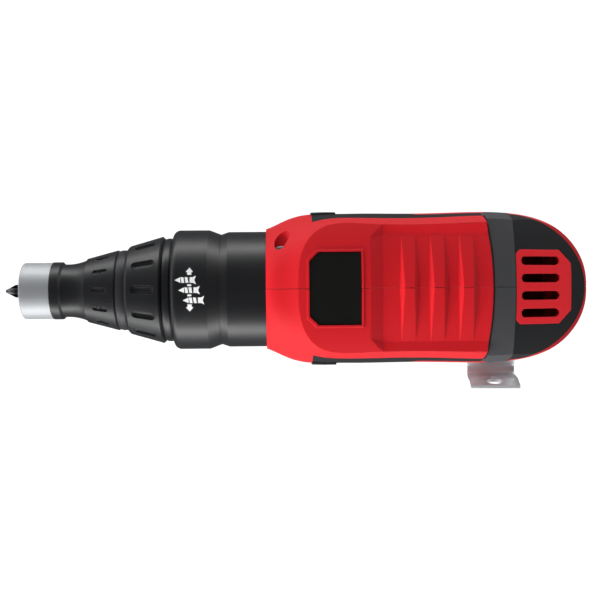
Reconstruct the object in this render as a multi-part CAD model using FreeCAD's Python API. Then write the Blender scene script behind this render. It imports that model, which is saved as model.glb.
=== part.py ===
import FreeCAD, Part
import os
from math import acos, copysign, cos, hypot, pi, radians, sin, sqrt, tan

# Cordless drywall screwdriver. Millimetres, nose towards -X, +Y the tool's right, +Z up.
# The origin is the centre of the battery's bottom face, on which the tool stands.

V = FreeCAD.Vector

# General fits
overrun = 1.0                  # a cutting tool runs this far past what it cuts
slide_fit = 0.15               # radial room of pieces that slide or turn in one another
seat_fit = 0.05                # room of pieces that are clamped in a seat
bearing_fit = 0.03             # room of a turning shaft in its bearing
split_groove_width = 0.25      # fine groove where the two housing halves meet
split_groove_depth = 0.2

# Main lines
bit_axis_height = 205.0        # bit axis above the surface that the tool stands on
housing_front_reach = 90.0     # housing's front rim ahead of the battery's centre

# Depth stop and nose
bit_projection = 8.9           # bit point ahead of the nose tip
tip_length = 16.0
tip_radius = 13.2
tip_bore_radius = 9.0
tip_edge = 0.8
tip_spigot_length = 6.0
tip_spigot_wall = 1.6
neck_length = 14.0
neck_bead_length = 3.0
neck_bead_radius = 13.4
neck_waist_radius = 12.4
neck_bore_radius = 9.6
grip_cone_length = 15.0
grip_cone_front_radius = 15.0
grip_cone_rear_radius = 18.8
grip_cone_edge = 0.9
grip_cone_step = 0.5           # cone stands out this far past the end of the neck
stop_socket_depth = 9.0        # how far the cone sits over the carrier
carrier_show = 4.2             # carrier band that shows between cone and ring
carrier_band_radius = 18.4
carrier_band_crown = 0.4
carrier_band_hidden = 6.0
carrier_front_radius = 16.0
carrier_thread_radius = 16.8
carrier_rear_clearance = 1.5
carrier_bore_radius = 14.0
depth_ring_length = 17.1
depth_ring_front_radius = 20.2
depth_ring_rear_radius = 25.0
depth_ring_edge = 1.0
depth_lead = 3.0               # axial travel per turn of the ring
depth_turns = 1.0              # turns of the ring each way from the middle
recess_count = 12
ring_recess_length = 11.5
ring_recess_radius = 2.0
ring_recess_depth = 1.3
cone_recess_length = 7.5
cone_recess_radius = 1.25
cone_recess_depth = 0.8
seal_length = 4.2
seal_radius = 23.6
seal_crown = 0.6
detent_ball_radius = 1.5
detent_count = 2
detent_circle_radius = 21.0
detent_spring_length = 5.0
detent_spring_turns = 3
detent_groove_depth = 0.5

# Collar and gear case
collar_length = 22.0
collar_radius = 27.9
collar_front_round = 3.0
collar_rear_chamfer = 5.5
collar_waist_radius = 25.8
collar_front_wall = 5.0
nose_tube_length = 16.0
nose_tube_radius = 13.8
gear_case_show = 21.0
gear_case_radius = 27.0
gear_case_chamfer = 3.5
gear_case_inside = 2.2         # length of the gear case behind the housing's front rim
case_bore_radius = 18.0
pinion_room = 1.0              # space round the pinion in the gear case
case_screw_angle = 53.0        # degrees from the top, on both sides, and the same below
case_screw_circle = 23.0       # radius
case_screw_radius = 1.9
case_screw_length = 42.0
case_screw_head_radius = 3.4
case_screw_head_height = 3.0

# Bit, holder and spindle
hexagon_size = 6.35            # across flats
hexagon_fit = 0.06
bit_length = 25.0
bit_tip_length = 8.0
bit_tip_radius = 3.0
bit_point_radius = 0.6
bit_point_length = 4.6
bit_flute_width = 1.1
bit_flute_count = 4
holder_length = 58.0
holder_radius = 5.2
holder_front_gap = 2.6         # holder's mouth behind the nose tip's front
holder_sleeve_length = 30.0
magnet_radius = 2.4
magnet_length = 4.0
spindle_radius = 8.0
spindle_front_gap = 36.0       # spindle's mouth behind the nose tip's front
spindle_flange_radius = 13.4
spindle_flange_length = 3.5
spindle_tail_radius = 4.0
spindle_tail_length = 20.0
bush_wall = 1.95
bush_length = 14.0
dog_count = 3
dog_inner_radius = 9.2
dog_outer_radius = 12.6
dog_length = 3.0
dog_share = 0.32               # part of its pitch that one dog takes up
dog_rest_gap = 0.8             # dogs stand this far apart until the bit is pushed in

# Gear pair
gear_module = 0.6
pinion_teeth = 11
gear_teeth = 45
pressure_angle = 25.0
tooth_backlash = 0.08
addendum_share = 0.85
dedendum_share = 1.15
gear_width = 8.0
gear_rear_gap = 1.0            # gear's rear face ahead of the bearing plate
pinion_overhang = 1.0
gear_hub_radius = 5.0
gear_hub_shoulder = 1.0
gear_hub_shoulder_radius = 6.6
spring_recess_depth = 4.5
spring_recess_wall = 0.4
clutch_spring_wire = 0.6       # radius
clutch_spring_radius = 6.6
clutch_spring_turns = 4

# Bearing plate and bearings
plate_front_length = 6.0
plate_flange_length = 8.3
plate_flange_radius = 28.0
plate_spigot_wall_gap = 0.1
gear_bearing_outer = 9.5       # radii and lengths of the ball bearings
gear_bearing_length = 5.0
front_bearing_outer = 9.5
front_bearing_length = 6.0
rear_bearing_outer = 7.5
rear_bearing_length = 5.0
bearing_ring_share = 0.26      # each ring's part of the bearing's wall
bearing_ball_count = 8
tail_room = 1.2

# Motor
shaft_radius = 3.0
fan_gap = 5.0                  # fan behind the bearing plate
fan_length = 9.0
fan_radius = 19.5
fan_hub_radius = 6.0
fan_plate = 1.4
fan_blade = 1.3
fan_blade_count = 11
fan_blade_lean = 25.0          # degrees from the radius
stator_gap = 9.0               # stator core behind the fan
stator_length = 34.0
stator_radius = 23.0
stator_bore_radius = 12.4
stator_yoke = 3.6
stator_teeth = 6
stator_tooth_width = 6.0
stator_shoe = 1.8
stator_shoe_share = 0.8        # part of the bore's circle that the tooth shoes cover
insulator_length = 2.4
insulator_rim = 1.6
winding_height = 4.6           # coil build beyond the core's ends
winding_width = 3.0
winding_round = 1.2
air_gap = 0.45
magnet_wall = 2.6
magnet_count = 4
magnet_gap_share = 0.12
sensor_board_gap = 8.0
sensor_board_thickness = 1.6
sensor_board_radius = 21.0
sensor_board_bore = 8.0
sensor_post_radius = 1.6
sensor_post_count = 3
rear_bearing_gap = 4.0         # rear bearing behind the sensor board
shaft_rear_stub = 1.5

# Housing barrel
barrel_length = 110.4          # front rim to the start of the rear dome
dome_length = 40.0
front_rim_radius = 28.2
fairing_length = 26.0
barrel_half_width = 35.1
barrel_crest = 42.3            # top of the rounded section above the bit axis, before the crown
barrel_keel = 45.0             # underside below the bit axis
barrel_mid_drop = 3.0          # widest level below the bit axis
barrel_roundness = 2.5
keel_roundness = 2.2
crown_height = 34.0            # top of the crowned upper face above the bit axis
crown_radius = 80.0
crease_reach = 110.6           # rear slope starts this far behind the front rim
rear_slope = 24.0              # degrees
housing_wall = 3.6
front_wall_length = 12.0       # solid front of the housing that holds the bearing plate
section_steps = 28
# along the fairing, then width, crest and keel between the rim's and the barrel's own
fairing_shares = (
    (0.00, 0.00, 0.00, 0.00),
    (0.27, 0.45, 0.23, 0.42),
    (0.54, 0.83, 0.40, 0.77),
    (1.00, 1.00, 0.90, 1.00),
)
barrel_shares = (0.45, 0.72, 1.00)
# angle along the rear dome as a part of a right angle
dome_shares = (0.30, 0.55, 0.76, 0.90, 0.97)

# Upper face: badge, louvre field and ridges
badge_front = 19.2             # badge plate behind the front rim
badge_length = 23.0
badge_half_width = 16.2
badge_corner = 4.0
badge_recess = 1.4
badge_thickness = 0.9
badge_gap = 0.25
badge_rim_width = 1.0          # raised rim round the badge
badge_rim_height = 0.45
field_front = 46.2             # louvre field behind the front rim
field_slope_length = 5.6
field_depth = 2.2
field_half_width = 24.0        # floor of the field
field_side = 28.4              # upper edge of its sloped sides
field_corner = 6.0             # cut across its front corners
ridge_first = 63.3             # middle of the first ridge behind the front rim
ridge_pitch = 12.98
ridge_count = 3
ridge_top_width = 4.4
ridge_front_slope = 1.8        # foot ahead of the top, at the middle
ridge_rear_slope = 2.6
ridge_taper = 0.9              # top widens and foot narrows to here at the ends
# places along a ridge from its middle to its end
ridge_shares = (0.00, 0.35, 0.70, 0.97)

# Soft cover: rear cap and side strips
cover_thickness = 1.6
cap_front = 100.6              # front edge of the rear cap behind the front rim
cap_bow_radius = 200.0         # that edge is bowed to the rear, seen from above
cap_drop = 2.6                 # cap's upper face below the red panel's
cap_side_length = 11.0         # skirt at the cap's sides
cap_skirt = 10.0               # its lower edge below the bit axis
cap_edge_front = 16.5          # lower edge of the cap behind the skirt, above the bit axis
cap_edge_rear = 8.0
panel_groove_width = 0.9       # groove between red panel and cap
panel_groove_depth = 1.0
strip_front = 20.9             # front end of the side strips behind the front rim
strip_top_front = 23.0         # strip's edges from the bit axis
strip_top_rear = 21.0
strip_bottom_front = 2.0       # below the axis
strip_bottom_rear = 15.0       # above the axis
strip_climb_start = 60.0       # lower edge climbs from here, behind the front rim
strip_climb_length = 9.0
bumper_length = 11.0           # raised pad at the front end of each strip
bumper_proud = 0.8
bumper_top = 14.0              # above the bit axis

# Vent grille on the rear slope
vent_front = 0.4               # behind the crease, along the slope
vent_length = 31.0
vent_half_width = 16.8
vent_corner = 6.0
vent_thickness = 2.4
vent_gap = 0.1
vent_slot_count = 4
vent_slot_pitch = 7.8
vent_slot_width = 3.9
vent_slot_length = 21.3
vent_slot_front = 2.9          # slots behind the grille's front edge, along the slope

# Grip and foot
grip_top_level = 30.0          # top of the grip's own form below the bit axis
grip_top_x = 14.5
grip_foot_x = 33.0
grip_length = 89.0
grip_half_length = 22.0
grip_half_width = 17.0
grip_roundness = 2.4
# along the grip, then half length and half width
grip_shares = (
    (0.00, 1.22, 1.16),
    (0.17, 1.07, 1.09),
    (0.45, 0.98, 1.00),
    (0.74, 1.00, 1.03),
    (1.00, 1.16, 1.18),
)
foot_half_length = 53.0
foot_half_width = 38.2
foot_middle_x = 10.0
foot_height = 34.0
foot_roundness = 5.0
# height, half length, half width and middle of the foot's sections
foot_shares = (
    (0.00, 1.000, 1.000, 1.00),
    (0.45, 0.995, 0.990, 1.00),
    (0.80, 0.950, 0.930, 1.10),
    (1.00, 0.800, 0.740, 1.90),
)
channel_half_width = 29.0      # slide channel for the battery's rail
channel_neck_half_width = 25.0
channel_lip = 4.0
channel_depth = 12.0
channel_rear = 48.0
channel_floor = 2.6            # wall above the channel
grip_cover_front = 9.0         # front edge of the grip cover behind the grip's front
grip_cover_top_share = 0.20
grip_cover_bottom_share = 0.93

# Housing screws, as places along X from the battery's middle and heights
screw_radius = 1.5
screw_head_radius = 3.0
screw_head_height = 2.2
screw_length = 18.0
screw_seat = 8.0               # underside of the head right of the middle plane
boss_radius = 4.2
counterbore_radius = 3.4
boss_places = ((2.0, 180.0), (47.0, 200.0), (36.0, 160.0), (40.0, 103.0), (-32.0, 77.0), (52.0, 85.0))
tie_level = 23.3               # tie screws above and below the bit axis
tie_seat = 17.0
tie_length = 7.0
tie_wall = 2.0                 # housing wall under the head
tie_lip = 0.9                  # plate left ahead of the screw boss

# Belt hook
hook_x = 46.9
hook_width = 29.0
hook_sheet = 2.0
hook_lean = 7.0                # degrees, top towards the nose
hook_pad_half_length = 11.0
hook_pad_height = 15.0
hook_pad_level = 64.0
hook_pad_reach = 39.0          # seat of the hook from the middle plane
hook_tab_height = 13.0
hook_slope_reach = 9.5
hook_slope_drop = 11.0
hook_web = 8.0
hook_wall_height = 20.0
hook_wall_reach = 1.0
hook_lip_height = 13.0
hook_lip_reach = 3.2
hook_bend = 2.6                # inner radius of its bends
hook_slot_length = 7.5
hook_slot_width = 4.0
hook_slot_shift = 3.2          # slot's middle ahead of the screw
hook_hole_radius = 4.6
insert_radius = 3.0
insert_length = 8.0
thread_radius = 1.65
hook_screw_head_radius = 4.0
hook_screw_head_height = 2.4
hook_screw_length = 9.0

# Trigger, switch and buttons
switch_front = 13.0
switch_length = 19.0
switch_half_width = 9.8
switch_bottom = 118.0
switch_height = 34.0
switch_shelf = 3.0
trigger_width = 20.0
trigger_bottom = 121.0
trigger_height = 34.0
trigger_reach = 13.0           # trigger's front ahead of the grip's front
trigger_travel = 6.5
trigger_dish = 3.0
plunger_radius = 2.6
plunger_depth = 8.0
trigger_spring_radius = 4.4
trigger_spring_wire = 0.5
trigger_spring_turns = 4
direction_x = 6.0
direction_level = 42.5         # below the bit axis
direction_half_length = 20.5
direction_radius = 4.0
lock_x = 24.0
lock_z = 137.0
lock_radius = 4.4
lock_outer = 20.0
lock_travel = 2.2

# Electronics in the foot
controller_length = 62.0
controller_half_width = 22.0
controller_height = 9.0
controller_x = 6.0
terminal_front = 22.0
terminal_half_width = 14.0
terminal_height = 8.0
terminal_blade_length = 10.0
terminal_blade_thickness = 0.9
terminal_blade_height = 5.0
terminal_blade_spread = 8.5

# Battery
battery_length = 116.0
battery_half_width = 37.5
battery_corner = 11.0
battery_edge = 4.0
battery_body_height = 55.0
battery_split = 34.0           # joint between case and lid
battery_wall = 2.4
battery_floor = 2.5
battery_gap = 0.4
rail_fit = 0.3
cell_radius = 9.1
cell_length = 65.0
cell_columns = 5
cell_rows = 2
cell_gap = 0.3
cell_lift = 0.1
board_thickness = 1.6
board_half_width = 24.0
board_length = 60.0
contact_thickness = 0.8
latch_front = 12.0             # latch button behind the battery's front
latch_length = 17.0
latch_height = 9.0
latch_level = 47.2             # middle of the button
latch_thickness = 4.6
latch_proud = 0.8
latch_pocket_depth = 8.0
latch_spring_radius = 3.4
latch_spring_wire = 0.3
latch_spring_turns = 3
battery_screw_inset = 8.0
battery_screw_length = 38.0
battery_screw_sink = 4.0       # underside of the head above the bottom face
battery_post_radius = 3.4

# Stations along X and levels, worked out from the sizes above
axis = bit_axis_height
motor_axis = axis - gear_module * (pinion_teeth + gear_teeth) / 2
x_front = -housing_front_reach
x_collar_rear = x_front - gear_case_show
x_collar_front = x_collar_rear - collar_length
x_seal_front = x_collar_front - seal_length
x_ring_front = x_seal_front - depth_ring_length
x_cone_rear = x_ring_front - carrier_show
x_cone_front = x_cone_rear - grip_cone_length
x_neck_front = x_cone_front - neck_length
x_tip_front = x_neck_front - tip_length
x_point = x_tip_front - bit_projection
x_holder_front = x_tip_front + holder_front_gap
x_spindle_front = x_tip_front + spindle_front_gap
x_case_rear = x_front + gear_case_inside
x_plate_front = x_case_rear - plate_front_length
x_plate_rear = x_case_rear + plate_flange_length
x_gear_rear = x_plate_front - gear_rear_gap
x_gear_front = x_gear_rear - gear_width
x_dog_root = x_gear_front - 2 * dog_length - dog_rest_gap
x_flange_front = x_dog_root - spindle_flange_length
x_fan = x_plate_rear + fan_gap
x_stator = x_fan + fan_length + stator_gap
x_stator_rear = x_stator + stator_length
x_board = x_stator_rear + sensor_board_gap
x_rear_bearing = x_board + sensor_board_thickness + rear_bearing_gap
x_dome = x_front + barrel_length
x_rear = x_dome + dome_length
x_crease = x_front + crease_reach
crown_level = axis + crown_height
cap_level = crown_level - cap_drop
grip_top = axis - grip_top_level
foot_bottom = battery_body_height + battery_gap
foot_top = foot_bottom + foot_height
channel_top = foot_bottom + channel_depth
far = barrel_half_width + foot_half_width


# Basic forms

def rod_x(start, end, radius, height, side=0.0):
    return Part.makeCylinder(radius, end - start, V(start, side, height), V(1, 0, 0))


def rod_y(start, end, radius, x, height):
    return Part.makeCylinder(radius, end - start, V(x, start, height), V(0, 1, 0))


def rod_z(start, end, radius, x, side):
    return Part.makeCylinder(radius, end - start, V(x, side, start), V(0, 0, 1))


def tube_x(start, end, outer, inner, height):
    hole = rod_x(start - overrun, end + overrun, inner, height)
    return rod_x(start, end, outer, height).cut(hole)


def block(low, high):
    return Part.makeBox(high[0] - low[0], high[1] - low[1], high[2] - low[2], V(*low))


def outline(points):
    return Part.Face(Part.makePolygon(points + [points[0]]))


def prism_y(points, start, end):
    face = outline([V(x, start, z) for x, z in points])
    return face.extrude(V(0, end - start, 0))


def prism_z(points, start, end):
    face = outline([V(x, y, start) for x, y in points])
    return face.extrude(V(0, 0, end - start))


def turned(steps, height):
    # a profile of (x, radius) steps, or (x, radius, x, radius) for an arc by way of the first pair
    edges = []
    here = steps[0]
    for step in steps[1:] + steps[:1]:
        begin = V(here[-2], 0, height + here[-1])
        end = V(step[-2], 0, height + step[-1])
        if len(step) == 4:
            edges.append(Part.Arc(begin, V(step[0], 0, height + step[1]), end).toShape())
        else:
            edges.append(Part.LineSegment(begin, end).toShape())
        here = step
    face = Part.Face(Part.Wire(edges))
    return face.revolve(V(0, 0, height), V(1, 0, 0), 360)


def hexagon_rod(start, end, across, height):
    corner = across / sqrt(3)
    points = [V(start, corner * cos(k * pi / 3), height + corner * sin(k * pi / 3)) for k in range(6)]
    return outline(points).extrude(V(end - start, 0, 0))


def around(shape, count, height, first=0.0):
    copies = []
    for k in range(count):
        turn = shape.copy()
        turn.rotate(V(0, 0, height), V(1, 0, 0), first + 360.0 * k / count)
        copies.append(turn)
    return copies


def mirrored(shape):
    return shape.mirror(V(0, 0, 0), V(0, 1, 0))


def group(shapes):
    return Part.makeCompound(shapes)


def fused(shapes):
    if len(shapes) == 1:
        return shapes[0]
    return shapes[0].multiFuse(shapes[1:])


def spring(base, direction, side, radius, wire, length, turns):
    # half-turn arcs, each tilted so that the coil climbs one pitch per turn
    along = V(direction)
    out = V(side)
    third = along.cross(out)
    rise = (length - 2 * wire) / turns

    def place(quarter):
        angle = quarter * pi / 2
        flat = out * (radius * cos(angle)) + third * (radius * sin(angle))
        return V(base) + flat + along * (wire + rise * quarter / 4)

    edges = []
    for half in range(2 * turns):
        arc = Part.Arc(place(2 * half), place(2 * half + 1), place(2 * half + 2))
        edges.append(arc.toShape())
    path = Part.Wire(edges)
    profile = Part.Wire([Part.Circle(place(0), third, wire).toShape()])
    return path.makePipeShell([profile], True, False)


def rounded(value, roundness):
    return copysign(abs(value) ** (2.0 / roundness), value)


def closed_curve(points):
    curve = Part.BSplineCurve()
    curve.interpolate(Points=points, PeriodicFlag=True)
    return Part.Wire([curve.toShape()])


def upright_section(x, half_width, middle, rise, drop, upper, lower):
    points = []
    for step in range(section_steps):
        angle = 2 * pi * step / section_steps
        height = rise if sin(angle) > 0 else drop
        power = upper if sin(angle) > 0 else lower
        y = half_width * rounded(cos(angle), power)
        points.append(V(x, y, middle + height * rounded(sin(angle), power)))
    return closed_curve(points)


def level_section(z, middle, half_length, half_width, roundness):
    points = []
    for step in range(section_steps):
        angle = 2 * pi * step / section_steps
        x = middle + half_length * rounded(cos(angle), roundness)
        points.append(V(x, half_width * rounded(sin(angle), roundness), z))
    return closed_curve(points)


def gear(module, teeth, start, end, height):
    # involute teeth, one of them pointing straight up
    pitch_radius = module * teeth / 2
    base_radius = pitch_radius * cos(radians(pressure_angle))
    tip = pitch_radius + addendum_share * module
    root = pitch_radius - dedendum_share * module
    flank_start = max(base_radius, root)
    half_pitch = pi / (2 * teeth) - tooth_backlash / (2 * pitch_radius)
    involute = tan(radians(pressure_angle)) - radians(pressure_angle)

    def half_angle(radius):
        slant = acos(min(base_radius / radius, 1))
        return half_pitch + involute - (tan(slant) - slant)

    def spot(radius, angle):
        return V(start, radius * cos(angle), height + radius * sin(angle))

    flank_middle = (flank_start + tip) / 2
    edges = []
    for tooth in range(teeth):
        middle = pi / 2 + 2 * pi * tooth / teeth
        following = middle + 2 * pi / teeth
        foot = half_angle(flank_start)
        rise = [spot(flank_start, middle - foot), spot(flank_middle, middle - half_angle(flank_middle)),
                spot(tip, middle - half_angle(tip))]
        fall = [spot(tip, middle + half_angle(tip)), spot(flank_middle, middle + half_angle(flank_middle)),
                spot(flank_start, middle + foot)]
        edges.append(Part.Arc(*rise).toShape())
        edges.append(Part.Arc(rise[-1], spot(tip, middle), fall[0]).toShape())
        edges.append(Part.Arc(*fall).toShape())
        left = fall[-1]
        right = spot(flank_start, following - foot)
        if root < flank_start:
            edges.append(Part.LineSegment(left, spot(root, middle + foot)).toShape())
            left = spot(root, middle + foot)
        root_end = spot(root, following - foot)
        edges.append(Part.Arc(left, spot(root, (middle + following) / 2), root_end).toShape())
        if root < flank_start:
            edges.append(Part.LineSegment(root_end, right).toShape())
    return Part.Face(Part.Wire(edges)).extrude(V(end - start, 0, 0))


def bearing(start, length, outer, inner, height):
    ring = (outer - inner) * bearing_ring_share
    pitch_radius = (outer + inner) / 2
    ball_radius = (outer - inner) / 2 - ring
    middle = start + length / 2
    outer_ring = tube_x(start, start + length, outer, outer - ring, height)
    inner_ring = tube_x(start, start + length, inner + ring, inner, height)
    ball = Part.makeSphere(ball_radius, V(middle, 0, height + pitch_radius))
    return group([outer_ring, inner_ring] + around(ball, bearing_ball_count, height))


# Nose and depth stop

def slanted_recess(front_x, front_radius, rear_x, rear_radius, length, radius, depth):
    # round-ended groove laid along a cone's slant, at the top
    slope = (rear_radius - front_radius) / (rear_x - front_x)
    straight = (length - 2 * radius) / hypot(1, slope)
    middle_x = (front_x + rear_x) / 2
    lift = (radius - depth) * hypot(1, slope)

    def surface(x):
        return V(x, 0, axis + front_radius + slope * (x - front_x) + lift)

    begin = surface(middle_x - straight / 2)
    end = surface(middle_x + straight / 2)
    core = Part.makeCylinder(radius, (end - begin).Length, begin, end - begin)
    return fused([core, Part.makeSphere(radius, begin), Part.makeSphere(radius, end)])


def screw_bit():
    x_shank = x_point + bit_tip_length
    tip = turned([
        (x_point, 0),
        (x_point, bit_point_radius),
        (x_point + bit_point_length, bit_tip_radius),
        (x_shank, bit_tip_radius),
        (x_shank, 0),
    ], axis)
    rim = bit_tip_radius + overrun
    flute = prism_y([
        (x_point - overrun, axis + bit_point_radius),
        (x_point + bit_point_length, axis + bit_tip_radius / 2),
        (x_shank, axis + bit_tip_radius),
        (x_shank, axis + rim),
        (x_point - overrun, axis + rim),
    ], -bit_flute_width, bit_flute_width)
    for cut in around(flute, bit_flute_count, axis, 180.0 / bit_flute_count):
        tip = tip.cut(cut)
    return tip.fuse(hexagon_rod(x_shank, x_point + bit_length, hexagon_size, axis))


def bit_holder():
    socket = hexagon_size + 2 * hexagon_fit
    x_seat = x_point + bit_length
    x_shank = x_holder_front + holder_sleeve_length
    nose = holder_radius / 4
    sleeve = turned([
        (x_holder_front, 0),
        (x_holder_front, holder_radius - nose),
        (x_holder_front + nose, holder_radius),
        (x_shank - nose, holder_radius),
        (x_shank, holder_radius - nose),
        (x_shank, 0),
    ], axis)
    shank = hexagon_rod(x_shank, x_holder_front + holder_length, hexagon_size, axis)
    holder = sleeve.fuse(shank)
    holder = holder.cut(hexagon_rod(x_holder_front - overrun, x_seat, socket, axis))
    return holder.cut(rod_x(x_seat, x_seat + magnet_length, magnet_radius, axis))


def holder_magnet():
    x_seat = x_point + bit_length
    return rod_x(x_seat, x_seat + magnet_length, magnet_radius, axis)


def nose_tip():
    x_rear = x_neck_front
    spigot = tip_bore_radius + tip_spigot_wall
    return turned([
        (x_tip_front, tip_bore_radius + tip_edge),
        (x_tip_front, tip_radius - tip_edge),
        (x_tip_front + tip_edge * (1 - cos(pi / 4)), tip_radius - tip_edge * (1 - sin(pi / 4)),
         x_tip_front + tip_edge, tip_radius),
        (x_rear, tip_radius),
        (x_rear, spigot),
        (x_rear + tip_spigot_length, spigot),
        (x_rear + tip_spigot_length, tip_bore_radius),
        (x_tip_front + tip_edge, tip_bore_radius),
    ], axis)


def depth_stop():
    spigot = tip_bore_radius + tip_spigot_wall + seat_fit
    bead_round = neck_bead_length / 3
    x_bead = x_neck_front + neck_bead_length
    x_waist = (x_bead + x_cone_front) / 2
    neck_end = grip_cone_front_radius - grip_cone_step
    waist_sag = (neck_waist_radius + neck_end) / 2 - (neck_end - neck_waist_radius) / 3
    socket = carrier_front_radius + slide_fit
    x_socket = x_cone_rear - stop_socket_depth
    cone = turned([
        (x_neck_front, spigot),
        (x_neck_front, neck_bead_radius - bead_round),
        (x_neck_front + bead_round, neck_bead_radius),
        (x_bead - bead_round, neck_bead_radius),
        (x_bead, neck_waist_radius),
        (x_waist, waist_sag, x_cone_front, neck_end),
        (x_cone_front, grip_cone_front_radius),
        (x_cone_rear - grip_cone_edge, grip_cone_rear_radius),
        (x_cone_rear, grip_cone_rear_radius - grip_cone_edge),
        (x_cone_rear, socket),
        (x_socket, socket),
        (x_socket, neck_bore_radius),
        (x_neck_front + tip_spigot_length, neck_bore_radius),
        (x_neck_front + tip_spigot_length, spigot),
    ], axis)
    recess = slanted_recess(x_cone_front, grip_cone_front_radius, x_cone_rear, grip_cone_rear_radius,
                            cone_recess_length, cone_recess_radius, cone_recess_depth)
    return cone.cut(group(around(recess, recess_count, axis)))


def depth_carrier():
    x_step = x_ring_front + carrier_band_hidden
    x_rear = x_collar_front - carrier_rear_clearance - depth_lead * depth_turns
    x_socket = x_cone_rear - stop_socket_depth + slide_fit
    band_middle = (x_cone_rear + x_ring_front) / 2
    return turned([
        (x_socket, carrier_bore_radius),
        (x_socket, carrier_front_radius),
        (x_cone_rear, carrier_front_radius),
        (x_cone_rear, carrier_band_radius),
        (band_middle, carrier_band_radius + carrier_band_crown, x_ring_front, carrier_band_radius),
        (x_step, carrier_band_radius),
        (x_step, carrier_thread_radius),
        (x_rear, carrier_thread_radius),
        (x_rear, carrier_bore_radius),
    ], axis)


def depth_ring():
    band_bore = carrier_band_radius + carrier_band_crown + slide_fit
    x_step = x_ring_front + carrier_band_hidden + depth_lead * depth_turns + slide_fit
    x_rear = x_seal_front - slide_fit
    ring = turned([
        (x_ring_front, band_bore),
        (x_ring_front, depth_ring_front_radius - depth_ring_edge / 2),
        (x_ring_front + depth_ring_edge, depth_ring_front_radius + depth_ring_edge / 2),
        (x_rear - depth_ring_edge, depth_ring_rear_radius),
        (x_rear, depth_ring_rear_radius - depth_ring_edge),
        (x_rear, carrier_thread_radius + slide_fit),
        (x_step, carrier_thread_radius + slide_fit),
        (x_step, band_bore),
    ], axis)
    recess = slanted_recess(x_ring_front, depth_ring_front_radius, x_rear, depth_ring_rear_radius,
                            ring_recess_length, ring_recess_radius, ring_recess_depth)
    ring = ring.cut(group(around(recess, recess_count, axis)))
    track = Part.makeTorus(detent_circle_radius, detent_ball_radius + slide_fit,
                           V(detent_place().x, 0, axis), V(1, 0, 0))
    return ring.cut(track)


def detent_place():
    x = x_seal_front - slide_fit - detent_groove_depth + detent_ball_radius
    return V(x, 0, axis + detent_circle_radius)


def ring_seal():
    x_middle = (x_seal_front + x_collar_front) / 2
    seal_bore = carrier_thread_radius + slide_fit
    seal = turned([
        (x_seal_front, seal_bore),
        (x_seal_front, seal_radius),
        (x_middle, seal_radius + seal_crown, x_collar_front, seal_radius),
        (x_collar_front, seal_bore),
    ], axis)
    hole = rod_x(x_seal_front - overrun, x_collar_front + overrun, detent_ball_radius + seat_fit, axis)
    hole.translate(V(0, 0, detent_circle_radius))
    return seal.cut(group(around(hole, detent_count, axis)))


def detent_balls():
    return group(around(Part.makeSphere(detent_ball_radius, detent_place()), detent_count, axis))


def detent_springs():
    x_start = detent_place().x + detent_ball_radius
    wire = detent_ball_radius / 4
    base = V(x_start, 0, axis + detent_circle_radius)
    coil = spring(base, V(1, 0, 0), V(0, 1, 0), detent_ball_radius - wire, wire,
                  detent_spring_length, detent_spring_turns)
    return group(around(coil, detent_count, axis))


def nose_collar():
    x_tube = x_collar_front - nose_tube_length
    bush_seat = spindle_radius + bush_wall + seat_fit
    bend = collar_front_round * (1 - sqrt(2) / 2)
    collar = turned([
        (x_tube, bush_seat),
        (x_tube, nose_tube_radius),
        (x_collar_front, nose_tube_radius),
        (x_collar_front, collar_radius - collar_front_round),
        (x_collar_front + bend, collar_radius - bend, x_collar_front + collar_front_round, collar_radius),
        (x_collar_rear - collar_rear_chamfer, collar_radius),
        (x_collar_rear, collar_waist_radius),
        (x_collar_rear, case_bore_radius),
        (x_collar_front + collar_front_wall, case_bore_radius),
        (x_collar_front + collar_front_wall, bush_seat),
    ], axis)
    pocket_end = detent_place().x + detent_ball_radius + detent_spring_length
    pocket = rod_x(x_collar_front - overrun, pocket_end, detent_ball_radius + seat_fit, axis)
    pocket.translate(V(0, 0, detent_circle_radius))
    collar = collar.cut(group(around(pocket, detent_count, axis)))
    return collar.cut(group(case_screw_holes()))


def case_screw_holes():
    hole = rod_x(x_plate_rear - case_screw_length, x_plate_rear + overrun, case_screw_radius, axis)
    hole.translate(V(0, 0, case_screw_circle))
    return case_screw_pairs(hole)


def case_screw_pairs(shape):
    return around(shape, 2, axis, case_screw_angle) + around(shape, 2, axis, -case_screw_angle)


def gear_case():
    case = turned([
        (x_collar_rear, case_bore_radius),
        (x_collar_rear, collar_waist_radius),
        (x_collar_rear + gear_case_chamfer, gear_case_radius),
        (x_case_rear, gear_case_radius),
        (x_case_rear, case_bore_radius),
    ], axis)
    pinion_tip = gear_module * (pinion_teeth / 2 + addendum_share) + pinion_room
    case = case.cut(rod_x(x_gear_front - dog_length, x_case_rear + overrun, pinion_tip, motor_axis))
    return case.cut(group(case_screw_holes()))


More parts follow.
